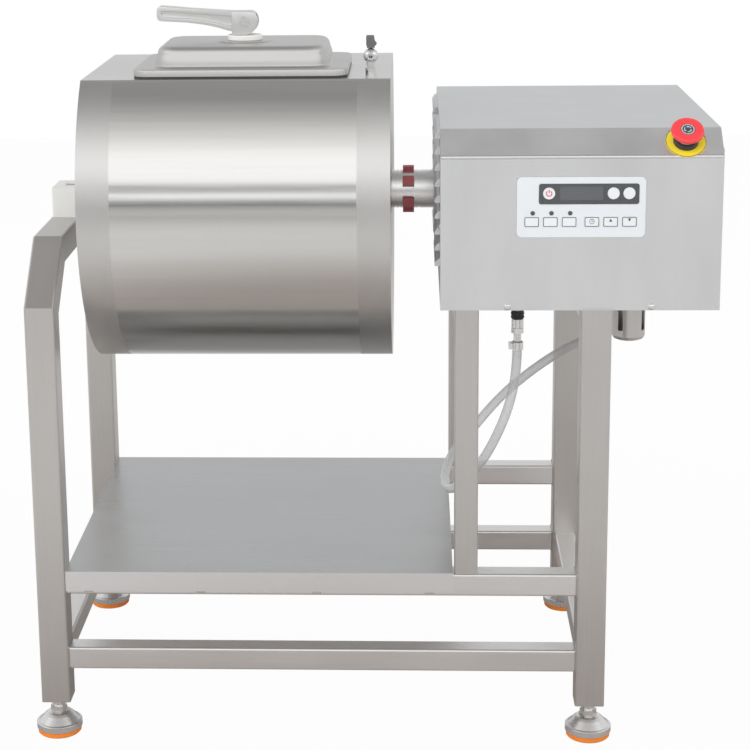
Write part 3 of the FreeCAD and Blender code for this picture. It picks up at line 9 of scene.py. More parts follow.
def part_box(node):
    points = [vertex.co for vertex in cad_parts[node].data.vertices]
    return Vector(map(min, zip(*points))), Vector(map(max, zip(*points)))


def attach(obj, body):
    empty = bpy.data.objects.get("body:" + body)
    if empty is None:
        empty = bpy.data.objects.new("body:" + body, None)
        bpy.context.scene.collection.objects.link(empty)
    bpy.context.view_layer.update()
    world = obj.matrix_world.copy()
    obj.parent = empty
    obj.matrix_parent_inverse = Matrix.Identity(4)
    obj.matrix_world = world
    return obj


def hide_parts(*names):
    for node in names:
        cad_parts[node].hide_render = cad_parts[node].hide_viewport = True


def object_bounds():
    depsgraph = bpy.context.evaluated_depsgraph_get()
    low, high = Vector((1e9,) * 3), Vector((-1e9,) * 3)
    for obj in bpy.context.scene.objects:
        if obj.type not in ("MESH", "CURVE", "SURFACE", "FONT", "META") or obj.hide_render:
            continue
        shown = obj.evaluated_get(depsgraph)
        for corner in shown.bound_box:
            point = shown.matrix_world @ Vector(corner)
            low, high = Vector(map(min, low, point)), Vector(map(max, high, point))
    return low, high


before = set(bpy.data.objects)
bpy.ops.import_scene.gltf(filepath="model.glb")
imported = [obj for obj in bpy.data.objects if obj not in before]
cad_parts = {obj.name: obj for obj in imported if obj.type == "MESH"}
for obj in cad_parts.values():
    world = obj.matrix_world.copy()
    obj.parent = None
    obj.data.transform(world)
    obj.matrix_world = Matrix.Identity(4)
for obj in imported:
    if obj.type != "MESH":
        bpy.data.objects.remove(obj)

bl_info = {
    "name": "Meat vacuum tumbler",
    "version": (1, 0, 0),
    "blender": (4, 5, 0),
    "location": "View3D > Sidebar > Tumbler",
    "description": "Dresses the packed tumbler: steel, plastics, hose, panel marks and stage",
    "category": "Object",
}

CAD_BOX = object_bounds()

# The housing's sloped face: how far it drops and how deep it is, and the stop button's axis
# and its way up along the slope.
SLOPE_DROP, SLOPE_DEPTH = 0.030, 0.0346
STOP_OUT = Vector((0, -0.655, 0.756)).normalized()
STOP_UP = Vector((0, 0.756, 0.655)).normalized()
RECESS_DEPTH = 0.0006
RAIL_TUBE = 0.030


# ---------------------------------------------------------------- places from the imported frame

def corners(node):
    """A node's lowest and highest corners at rest."""
    low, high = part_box(node)
    return Vector(low), Vector(high)


def middle(node):
    """The centre of a node's box."""
    low, high = corners(node)
    return (low + high) / 2


def furthest(node, origin, way):
    """How far a node reaches from the origin along a direction."""
    return max((point.co - origin).dot(way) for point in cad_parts[node].data.vertices)


# ---------------------------------------------------------------- node groups

def new_group(name, inputs, outputs):
    """A shader node group with the sockets given as (name, kind, default)."""
    group = bpy.data.node_groups.new(name, "ShaderNodeTree")
    for label, kind, default in inputs:
        socket = group.interface.new_socket(label, in_out="INPUT", socket_type=kind)
        if default is not None:
            socket.default_value = default
    for label, kind in outputs:
        group.interface.new_socket(label, in_out="OUTPUT", socket_type=kind)
    return group, group.nodes.new("NodeGroupInput"), group.nodes.new("NodeGroupOutput")


def fill(tree, socket, term):
    """Link another node's output to a socket, or set the socket to a plain value."""
    if isinstance(term, (int, float, tuple)):
        socket.default_value = term
    else:
        tree.links.new(term, socket)


def noise(tree, vector, scale, detail=2.0, rough=0.5):
    """A soft random pattern between 0 and 1."""
    node = tree.nodes.new("ShaderNodeTexNoise")
    node.inputs["Scale"].default_value = scale
    node.inputs["Detail"].default_value = detail
    node.inputs["Roughness"].default_value = rough
    tree.links.new(vector, node.inputs["Vector"])
    return node.outputs["Fac"]


def spread(tree, source, low, high, from_low=0.3, from_high=0.7):
    """Map a 0 to 1 pattern onto a range."""
    node = tree.nodes.new("ShaderNodeMapRange")
    node.inputs["From Min"].default_value = from_low
    node.inputs["From Max"].default_value = from_high
    tree.links.new(source, node.inputs["Value"])
    fill(tree, node.inputs["To Min"], low)
    fill(tree, node.inputs["To Max"], high)
    return node.outputs["Result"]


def calculate(tree, operation, first, second):
    """Reckon with two values, each a socket or a plain number."""
    node = tree.nodes.new("ShaderNodeMath")
    node.operation = operation
    fill(tree, node.inputs[0], first)
    fill(tree, node.inputs[1], second)
    return node.outputs["Value"]


def unevenness(tree, pattern, contrast):
    """A pattern centred on zero and scaled by its contrast."""
    return calculate(tree, "MULTIPLY", calculate(tree, "SUBTRACT", pattern, 0.5), contrast)


def blend_colour(tree, factor, first, second):
    """Mix two colours, each a socket or a plain (red, green, blue, 1)."""
    node = tree.nodes.new("ShaderNodeMix")
    node.data_type = "RGBA"
    for index, term in ((0, factor), (6, first), (7, second)):
        fill(tree, node.inputs[index], term)
    return node.outputs[2]


def shade_colour(tree, colour, shade):
    """Scale a colour by a shade near 1."""
    node = tree.nodes.new("ShaderNodeVectorMath")
    node.operation = "SCALE"
    tree.links.new(colour, node.inputs[0])
    tree.links.new(shade, node.inputs["Scale"])
    return node.outputs["Vector"]


def object_coordinates(tree, stretch):
    """The object's own coordinates in metres, squeezed along the grain."""
    place = tree.nodes.new("ShaderNodeTexCoord")
    mapping = tree.nodes.new("ShaderNodeMapping")
    mapping.inputs["Scale"].default_value = stretch
    tree.links.new(place.outputs["Object"], mapping.inputs["Vector"])
    return mapping.outputs["Vector"]


def steel_group():
    """Brushed steel: grain lines, cloudy handling marks and faint scratches."""
    group, given, made = new_group(
        "brushed_steel_surface",
        [("Grain Vector", "NodeSocketVector", None), ("Cloud Vector", "NodeSocketVector", None),
         ("Colour", "NodeSocketColor", (0.6, 0.6, 0.6, 1)),
         ("Grain Contrast", "NodeSocketFloat", 0.12), ("Cloud Contrast", "NodeSocketFloat", 0.12),
         ("Low Roughness", "NodeSocketFloat", 0.26), ("High Roughness", "NodeSocketFloat", 0.4)],
        [("Colour", "NodeSocketColor"), ("Roughness", "NodeSocketFloat"),
         ("Height", "NodeSocketFloat")])
    fine = noise(group, given.outputs["Grain Vector"], 1.0, 3.0, 0.6)
    cloud = noise(group, given.outputs["Cloud Vector"], 1.0, 3.0, 0.55)
    scratch = noise(group, given.outputs["Grain Vector"], 0.23, 1.0)
    streak = spread(group, scratch, 0.0, 1.0, 0.62, 0.7)
    both = calculate(group, "ADD", unevenness(group, fine, given.outputs["Grain Contrast"]),
                     unevenness(group, cloud, given.outputs["Cloud Contrast"]))
    group.links.new(shade_colour(group, given.outputs["Colour"],
                                 calculate(group, "ADD", both, 1.0)), made.inputs["Colour"])
    uneven = calculate(group, "ADD", calculate(group, "MULTIPLY", fine, 0.45),
                       calculate(group, "MULTIPLY", cloud, 0.55))
    rough = spread(group, uneven, given.outputs["Low Roughness"], given.outputs["High Roughness"],
                   0.35, 0.65)
    group.links.new(calculate(group, "ADD", rough, calculate(group, "MULTIPLY", streak, 0.03)),
                    made.inputs["Roughness"])
    group.links.new(calculate(group, "ADD", fine, calculate(group, "MULTIPLY", streak, 0.4)),
                    made.inputs["Height"])
    return group


def moulded_group():
    """Moulded plastic, rubber and paint: a fine skin with slight unevenness of tone."""
    group, given, made = new_group(
        "moulded_surface",
        [("Vector", "NodeSocketVector", None), ("Colour", "NodeSocketColor", (0.5, 0.5, 0.5, 1)),
         ("Mottle", "NodeSocketFloat", 0.08), ("Skin Scale", "NodeSocketFloat", 900.0),
         ("Low Roughness", "NodeSocketFloat", 0.35), ("High Roughness", "NodeSocketFloat", 0.5)],
        [("Colour", "NodeSocketColor"), ("Roughness", "NodeSocketFloat"),
         ("Height", "NodeSocketFloat")])
    skin = group.nodes.new("ShaderNodeTexNoise")
    skin.inputs["Detail"].default_value = 2.0
    group.links.new(given.outputs["Vector"], skin.inputs["Vector"])
    group.links.new(given.outputs["Skin Scale"], skin.inputs["Scale"])
    cloud = noise(group, given.outputs["Vector"], 22.0, 3.0, 0.6)
    shade = calculate(group, "ADD", unevenness(group, cloud, given.outputs["Mottle"]), 1.0)
    group.links.new(shade_colour(group, given.outputs["Colour"], shade), made.inputs["Colour"])
    group.links.new(spread(group, cloud, given.outputs["Low Roughness"],
                           given.outputs["High Roughness"]), made.inputs["Roughness"])
    group.links.new(skin.outputs["Fac"], made.inputs["Height"])
    return group


# ---------------------------------------------------------------- materials

def new_material(name):
    """A material with its node tree and its Principled shader."""
    material = bpy.data.materials.new(name)
    material.use_nodes = True
    return material, material.node_tree, material.node_tree.nodes["Principled BSDF"]


def add_bump(tree, shader, height, strength, distance):
    bump = tree.nodes.new("ShaderNodeBump")
    bump.inputs["Strength"].default_value = strength
    bump.inputs["Distance"].default_value = distance
    tree.links.new(height, bump.inputs["Height"])
    tree.links.new(bump.outputs["Normal"], shader.inputs["Normal"])


def use_group(tree, name, values):
    """Place a node group and fill its inputs."""
    node = tree.nodes.new("ShaderNodeGroup")
    node.node_tree = bpy.data.node_groups[name]
    for label, term in values.items():
        fill(tree, node.inputs[label], term)
    return node


def moulded_surface(tree, colour, mottle, skin, rough):
    return use_group(tree, "moulded_surface", {
        "Vector": object_coordinates(tree, (1, 1, 1)), "Colour": colour + (1.0,),
        "Mottle": mottle, "Skin Scale": skin, "Low Roughness": rough[0],
        "High Roughness": rough[1]})


def steel_surface(tree, colour, grain_way, cloud_way, grain, cloud, rough):
    return use_group(tree, "brushed_steel_surface", {
        "Grain Vector": object_coordinates(tree, grain_way),
        "Cloud Vector": object_coordinates(tree, cloud_way),
        "Colour": colour + (1.0,), "Grain Contrast": grain, "Cloud Contrast": cloud,
        "Low Roughness": rough[0], "High Roughness": rough[1]})


# Waves of the patterns per metre, few along the grain and many across it.
GRAIN = {"x": (9, 1500, 1500), "y": (1500, 9, 1500), "z": (1500, 1500, 9)}
CLOUD = {"x": (4, 14, 14), "y": (14, 4, 14), "z": (14, 14, 4)}
DRUM_STREAKS = (2.5, 130, 130)
SKIN_DEPTH = 0.0004


def steel(name, colour, along="z", rough=(0.26, 0.4), grain=0.14, cloud=0.12, bump=0.05,
          sides=None):
    """Brushed steel whose grain runs along one axis; its upright faces can take their own tone,
    painted light and shade by face direction.
    """
    material, tree, shader = new_material(name)
    surface = steel_surface(tree, colour, GRAIN[along], CLOUD[along], grain, cloud, rough)
    base = surface.outputs["Colour"]
    # Painted light and shade: faces that do not look up take the given tone, faces that look up
    # keep the steel's own tone.
    if sides:
        face = tree.nodes.new("ShaderNodeNewGeometry")
        split = tree.nodes.new("ShaderNodeSeparateXYZ")
        tree.links.new(face.outputs["Normal"], split.inputs["Vector"])
        base = blend_colour(tree, spread(tree, split.outputs["Z"], 0.0, 1.0), sides + (1.0,),
                            base)
    tree.links.new(base, shader.inputs["Base Color"])
    tree.links.new(surface.outputs["Roughness"], shader.inputs["Roughness"])
    shader.inputs["Metallic"].default_value = 1.0
    add_bump(tree, shader, surface.outputs["Height"], bump, SKIN_DEPTH)
    return material


def moulded(name, colour, rough=(0.35, 0.5), mottle=0.08, skin=900.0, bump=0.05, coat=0.0,
            metal=0.0, specular=0.5):
    """Plastic, rubber, nylon or paint."""
    material, tree, shader = new_material(name)
    surface = moulded_surface(tree, colour, mottle, skin, rough)
    tree.links.new(surface.outputs["Colour"], shader.inputs["Base Color"])
    tree.links.new(surface.outputs["Roughness"], shader.inputs["Roughness"])
    shader.inputs["Coat Weight"].default_value = coat
    shader.inputs["Metallic"].default_value = metal
    shader.inputs["Specular IOR Level"].default_value = specular
    add_bump(tree, shader, surface.outputs["Height"], bump, SKIN_DEPTH)
    return material


def drum_steel(name, colour, band):
    """Rolled drum steel: brushed along the drum, with bands brushed round it at both ends."""
    material, tree, shader = new_material(name)
    low, high = corners("drum_shell")
    place = tree.nodes.new("ShaderNodeTexCoord")
    split = tree.nodes.new("ShaderNodeSeparateXYZ")
    tree.links.new(place.outputs["Object"], split.inputs["Vector"])
    halfway, half = (low.x + high.x) / 2, (high.x - low.x) / 2
    off_middle = calculate(tree, "ABSOLUTE", calculate(tree, "SUBTRACT", split.outputs["X"],
                                                       halfway), 0.0)
    blur = 0.001
    edge = spread(tree, off_middle, 0.0, 1.0, half - band - blur, half - band + blur)
    grain, cloud = 0.08, 0.11
    middle_part = steel_surface(tree, colour, GRAIN["x"], DRUM_STREAKS, grain, cloud,
                                (0.11, 0.17))
    edge_part = steel_surface(tree, tuple(0.93 * part for part in colour), GRAIN["z"],
                              CLOUD["z"], grain, cloud, (0.27, 0.34))
    tree.links.new(blend_colour(tree, edge, middle_part.outputs["Colour"],
                                edge_part.outputs["Colour"]), shader.inputs["Base Color"])
    rough = tree.nodes.new("ShaderNodeMix")
    tree.links.new(edge, rough.inputs[0])
    tree.links.new(middle_part.outputs["Roughness"], rough.inputs[2])
    tree.links.new(edge_part.outputs["Roughness"], rough.inputs[3])
    tree.links.new(rough.outputs[0], shader.inputs["Roughness"])
    shader.inputs["Metallic"].default_value = 1.0
    add_bump(tree, shader, middle_part.outputs["Height"], 0.012, SKIN_DEPTH)
    return material


def clear_hose(name, colour):
    """Soft clear tube, milky through its walls and clearer through its middle."""
    material, tree, shader = new_material(name)
    surface = moulded_surface(tree, colour, 0.1, 300.0, (0.12, 0.22))
    facing = tree.nodes.new("ShaderNodeLayerWeight")
    facing.inputs["Blend"].default_value = 0.35
    tree.links.new(surface.outputs["Colour"], shader.inputs["Base Color"])
    tree.links.new(surface.outputs["Roughness"], shader.inputs["Roughness"])
    tree.links.new(spread(tree, facing.outputs["Facing"], 0.5, 0.95, 0.1, 0.8),
                   shader.inputs["Alpha"])
    shader.inputs["Coat Weight"].default_value = 0.4
    shader.inputs["IOR"].default_value = 1.4
    add_bump(tree, shader, surface.outputs["Height"], 0.04, 0.0005)
    return material


def dress(material, *nodes):
    """Give CAD nodes a material in all their slots."""
    for node in nodes:
        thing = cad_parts[node]
        if not thing.material_slots:
            thing.data.materials.append(material)
        for material_slot in thing.material_slots:
            material_slot.material = material


# ---------------------------------------------------------------- mesh helpers

def loose_object(name, shape):
    """An object made from a bmesh, which is freed."""
    data = bpy.data.meshes.new(name)
    shape.normal_update()
    shape.to_mesh(data)
    shape.free()
    thing = bpy.data.objects.new(name, data)
    bpy.context.collection.objects.link(thing)
    return thing


def finish_piece(thing, material, body, slot_name, smooth=True):
    """Give a piece its one material, its shading and the body it rides. Its slot name is not used.
    """
    thing.data.materials.clear()
    thing.data.materials.append(material)
    for face in thing.data.polygons:
        face.use_smooth = smooth
        face.material_index = 0
    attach(thing, body)
    return thing


def from_bmesh(name, shape, *rest, **more):
    """A finished piece made from a bmesh."""
    return finish_piece(loose_object(name, shape), *rest, **more)


def sharpen(thing, degrees):
    """Keep edges that turn more than this sharp when the piece is shaded smooth."""
    thing.data.set_sharp_from_angle(angle=math.radians(degrees))


def add_plate(shape, outline, place, thickness):
    """Extrude a flat outline of (across, up) points. Place maps (across, up, out) to the frame."""
    back = [shape.verts.new(place(across, up, 0.0)) for across, up in outline]
    front = [shape.verts.new(place(across, up, thickness)) for across, up in outline]
    shape.faces.new(front)
    shape.faces.new(list(reversed(back)))
    for index in range(len(outline)):
        following = (index + 1) % len(outline)
        shape.faces.new((back[index], back[following], front[following], front[index]))


def add_ring(shape, outer, inner, place, thickness):
    """A flat ring between two outlines with the same number of points."""
    rows = []
    for outline, out in ((outer, 0.0), (outer, thickness), (inner, thickness), (inner, 0.0)):
        rows.append([shape.verts.new(place(across, up, out)) for across, up in outline])
    count = len(outer)
    for row in range(4):
        here, there = rows[row], rows[(row + 1) % 4]
        for index in range(count):
            following = (index + 1) % count
            shape.faces.new((here[index], here[following], there[following], there[index]))


def circle(radius, steps=64):
    """The (across, up) points of a circle."""
    return [(radius * math.cos(math.tau * step / steps),
             radius * math.sin(math.tau * step / steps)) for step in range(steps)]


def rounded_outline(width, height, radius, steps=6):
    """The (across, up) points of a rectangle with round corners."""
    points = []
    for turn, sign_x, sign_y in ((0, 1, 1), (90, -1, 1), (180, -1, -1), (270, 1, -1)):
        centre_x, centre_y = sign_x * (width / 2 - radius), sign_y * (height / 2 - radius)
        for step in range(steps + 1):
            angle = math.radians(turn + 90 * step / steps)
            points.append((centre_x + radius * math.cos(angle),
                           centre_y + radius * math.sin(angle)))
    return points


def arc_band(radius, width, start, end, steps=24):
    """A curved band as one closed outline."""
    outer, inner = [], []
    for step in range(steps + 1):
        angle = math.radians(start + (end - start) * step / steps)
        outer.append(((radius + width / 2) * math.cos(angle),
                      (radius + width / 2) * math.sin(angle)))
        inner.append(((radius - width / 2) * math.cos(angle),
                      (radius - width / 2) * math.sin(angle)))
    return outer + list(reversed(inner))


def facing_front(centre):
    """Places flat things on a face that looks to the front."""
    return lambda across, up, out: Vector((centre.x + across, centre.y - out, centre.z + up))


# ---------------------------------------------------------------- settings

def paint(label, purpose, tone):
    """A colour setting."""
    return FloatVectorProperty(name=label, description=purpose, subtype="COLOR", size=3,
                               default=tone, min=0.0, max=1.0)


def span(label, purpose, metres, least=0.0, most=1.0):
    """A length setting."""
    return FloatProperty(name=label, description=purpose, unit="LENGTH", default=metres,
                         min=least, max=most)


def angle(label, purpose, degrees):
    """An angle setting, given in degrees."""
    return FloatProperty(name=label, description=purpose, subtype="ANGLE",
                         default=math.radians(degrees))


class TumblerCamera(bpy.types.PropertyGroup):
    """Where the camera stands and how it is aimed."""
    location: FloatVectorProperty(
        name="Location", description="Where the camera stands", subtype="TRANSLATION",
        unit="LENGTH", default=(0.0629, -2.60523, 1.16101))
    pitch: angle("Pitch", "How far the camera looks up", -12.75)
    yaw: angle("Yaw", "How far the camera is turned to the right", -2.59)
    roll: angle("Roll", "How far the camera leans", -0.68)
    focal_length: FloatProperty(
        name="Focal length", description="Lens on a 36 mm sensor, in millimetres", default=93.53,
        min=10.0, max=300.0)
    shift: FloatVectorProperty(
        name="Shift", description="Lens shift across and up, in frame widths", size=2,
        default=(0.06, -0.1333))


class TumblerStage(bpy.types.PropertyGroup):
    """Floor, surroundings and lamps."""
    floor_size: span("Floor size", "Side of the square floor", 10.0, 4.0, 20.0)
    floor_colour: paint("Floor colour", "Paint of the floor", (0.68, 0.675, 0.67))
    # Painted shade: the floor round the machine is darker in its colour.
    floor_shade_colour: paint("Near colour", "Paint of the floor round the machine", (0.43, 0.395, 0.375))
    floor_whiteness: FloatProperty(
        name="Floor whiteness", description="How much of the floor is lit to plain white",
        subtype="FACTOR", default=0.97, min=0.0, max=1.0)
    key_power: FloatProperty(
        name="Key lamp", description="Power of the large soft lamp in front", subtype="POWER",
        default=36.0, min=0.0)
    fill_power: FloatProperty(
        name="Fill lamps", description="Power of the soft lamps at both sides", subtype="POWER",
        default=14.0, min=0.0)


class TumblerSteel(bpy.types.PropertyGroup):
    """Tones of the machine's metals."""
    stand: paint("Stand", "Brushed square tube of the legs", (0.64, 0.62, 0.60))
    rails: paint("Rails", "Brushed square tube of the rails", (0.83, 0.82, 0.81))
    # Painted shade and light: the shelf's top and its turned-down lip are one sheet, given a darker
    # tone on top and a lighter one on the upright lip.
    shelf: paint("Shelf", "Rolled sheet of the shelf", (0.53, 0.53, 0.53))
    shelf_lip_light: paint("Shelf lip", "Steel of the turned down edge of the shelf", (0.86, 0.86, 0.86))
    drum: paint("Drum", "Brushed sheet of the drum", (0.72, 0.71, 0.695))
    housing: paint("Housing", "Satin sheet of the machine housing", (0.80, 0.805, 0.81))
    machined: paint("Machined parts", "Turned and milled steel", (0.84, 0.835, 0.83))
    cast: paint("Cast lever", "Cast aluminium of the cam lever", (0.74, 0.74, 0.73))
    edge_band: span("Edge band", "Width of the cross-brushed band at the drum's ends",
                    0.042, 0.0, 0.1)


class TumblerColours(bpy.types.PropertyGroup):
    """Colours of the plastics, rubbers and paints."""
    pads: paint("Foot pads", "Orange rubber under the feet", (1.0, 0.27, 0.025))
    spider: paint("Coupling spider", "Red elastomer between the jaws", (0.62, 0.16, 0.17))
    stop_head: paint("Stop head", "Red mushroom of the emergency stop", (0.80, 0.035, 0.045))
    stop_plate: paint("Stop plate", "Yellow disc round the emergency stop", (0.90, 0.72, 0.04))
    stop_stem: paint("Stop stem", "Cream stem under the stop head", (0.74, 0.68, 0.50))
    panel: paint("Panel", "White keypad membrane", (0.78, 0.81, 0.84))
    strip: paint("Display strip", "Smoked strip behind the display", (0.085, 0.088, 0.095))
    window: paint("Display window", "Unlit display window", (0.125, 0.13, 0.14))
    keys: paint("Keys", "Embossed white keys", (0.82, 0.84, 0.86))
    marks: paint("Marks", "Dark symbols and key outlines", (0.06, 0.062, 0.07))
    power: paint("Power mark", "Red power symbol", (0.72, 0.04, 0.08))
    nylon: paint("Nylon", "White nylon washer and bearing", (0.80, 0.80, 0.78))
    hose: paint("Hose", "Soft clear tube", (0.62, 0.63, 0.63))


class TumblerTrim(bpy.types.PropertyGroup):
    """Small sizes of the hose, welds, marks, lid and stop button."""
    hose_diameter: span("Hose diameter", "Outside diameter of the suction hose",
                        0.0125, 0.004, 0.03)
    hose_length: span("Hose length", "Length of the suction hose", 0.690, 0.1)
    weld_width: span("Weld width", "Width of a dressed weld seam", 0.0024, 0.0005, 0.01)
    stop_neck: span("Stop neck radius", "Radius of the stem inside the collar", 0.0106)
    stop_clearance: span("Stop clearance", "Rise of the stem's skirt above the collar", 0.0048)
    mark_height: span("Mark height", "How proud printed marks stand", 0.00012, 0.00002, 0.001)
    lid_sheet: span("Lid sheet", "Thickness of the pressed lid", 0.002, 0.0005, 0.004)
    dome_length: span("Dome length", "Length of the lid's raised middle at its foot",
                      0.226, 0.1, 0.26)
    dome_width: span("Dome width", "Width of the lid's raised middle at its foot", 0.160, 0.1, 0.19)
    dome_draft: span("Dome draft", "How far the dome's wall leans in", 0.0035, 0.0, 0.01)
    dome_round: span("Dome rounding", "Radius along the dome's top edge", 0.010, 0.002, 0.02)
    bend_radius: span("Bend radius", "Radius of the housing's folded edges", 0.003, 0.001, 0.01)
    line_width: span("Line width", "Width of the printed key outlines", 0.0007, 0.0002, 0.003)


# ---------------------------------------------------------------- camera and hose

class TUMBLER_OT_camera(bpy.types.Operator):
    """Put the camera in front of the tumbler, a little above it"""
    bl_idname = "tumbler.camera"
    bl_label = "Camera"

    def execute(self, context):
        wanted = context.scene.tumbler_camera
        forward = Vector((math.sin(wanted.yaw) * math.cos(wanted.pitch),
                          math.cos(wanted.yaw) * math.cos(wanted.pitch), math.sin(wanted.pitch)))
        right = forward.cross(Vector((0, 0, 1))).normalized()
        above = right.cross(forward)
        lean_right = right * math.cos(wanted.roll) + above * math.sin(wanted.roll)
        lean_above = above * math.cos(wanted.roll) - right * math.sin(wanted.roll)
        turned = Matrix((lean_right, lean_above, -forward)).transposed()
        lens = bpy.data.cameras.new("tumbler_camera")
        lens.sensor_width = 36.0
        lens.lens = wanted.focal_length
        lens.shift_x, lens.shift_y = wanted.shift
        lens.clip_start, lens.clip_end = 0.05, 60.0
        camera = bpy.data.objects.new("tumbler_camera", lens)
        context.collection.objects.link(camera)
        camera.matrix_world = Matrix.Translation(wanted.location) @ turned.to_4x4()
        context.scene.camera = camera
        return {"FINISHED"}


HOSE_START = Vector((0.1957, -0.1205, 0.509))
HOSE_ROUTE = ((0, 0, 0), (0, 0, -0.037), (-0.009, -0.0165, -0.078), (-0.024, -0.029, -0.1145),
              (-0.043, -0.030, -0.1515), (-0.0675, -0.014, -0.190), (-0.0895, 0.0215, -0.215),
              (-0.0955, 0.0695, -0.2145), (-0.0865, 0.110, -0.195), (-0.058, 0.1365, -0.1675),
              (-0.0155, 0.1475, -0.1185), (0.030, 0.144, -0.078), (0.070, 0.110, -0.040),
              (0.103, 0.102, -0.0225), (0.121, 0.099, 0.007), (0.121, 0.099, 0.039))


class TUMBLER_OT_hose(bpy.types.Operator):
    """Hang the soft suction hose between the coupler and the pump port"""
    bl_idname = "tumbler.hose"
    bl_label = "Suction hose"

    def execute(self, context):
        trim = context.scene.tumbler_trim
        curve = bpy.data.curves.new("suction_hose", "CURVE")
        curve.dimensions = "3D"
        curve.bevel_depth = trim.hose_diameter / 2
        curve.bevel_resolution = 6
        curve.resolution_u = 16
        spline = curve.splines.new("NURBS")
        spline.points.add(len(HOSE_ROUTE) - 1)
        for point, offset in zip(spline.points, HOSE_ROUTE):
            point.co = (*(HOSE_START + Vector(offset)), 1.0)
        spline.order_u = 3
        spline.use_endpoint_u = True
        hose = bpy.data.objects.new("suction_hose", curve)
        context.collection.objects.link(hose)
        curve.materials.append(clear_hose("clear_pvc", tuple(context.scene.tumbler_colours.hose)))
        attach(hose, "frame")
        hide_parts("hose")
        return {"FINISHED"}


# ---------------------------------------------------------------- stage

def ramp(tree, source, stops):
    """Colours along a value, given as (place, colour)."""
    node = tree.nodes.new("ShaderNodeValToRGB")
    band = node.color_ramp
    while len(band.elements) < len(stops):
        band.elements.new(0.5)
    for element, (place, tone) in zip(band.elements, stops):
        element.position = place
        element.color = (*tone, 1.0)
    tree.links.new(source, node.inputs["Fac"])
    return node.outputs["Color"]


def rise(degrees):
    """A height angle as a place on a ramp from straight down to straight up."""
    return (math.sin(math.radians(degrees)) + 1) / 2


FRONT_SKY = ((rise(-12), (0.66, 0.65, 0.64)), (rise(-2.4), (0.62, 0.61, 0.60)),
             (rise(-1.6), (0.23, 0.235, 0.24)), (rise(2.6), (0.23, 0.235, 0.24)),
             (rise(3.4), (1.30, 1.31, 1.33)), (rise(7.2), (1.30, 1.31, 1.33)),
             (rise(8.2), (0.44, 0.445, 0.45)), (rise(12.6), (0.50, 0.505, 0.51)),
             (rise(14.2), (1.28, 1.28, 1.29)), (rise(32), (1.28, 1.28, 1.28)),
             (rise(48), (0.84, 0.84, 0.835)), (rise(64), (0.47, 0.465, 0.46)),
             (rise(75), (0.33, 0.325, 0.32)), (rise(88), (0.37, 0.365, 0.36)))
REAR_SKY = ((rise(-30), (0.45, 0.45, 0.45)), (rise(5), (0.75, 0.76, 0.77)),
            (rise(26), (0.77, 0.78, 0.79)), (rise(55), (0.46, 0.455, 0.45)),
            (rise(84), (0.36, 0.355, 0.35)))


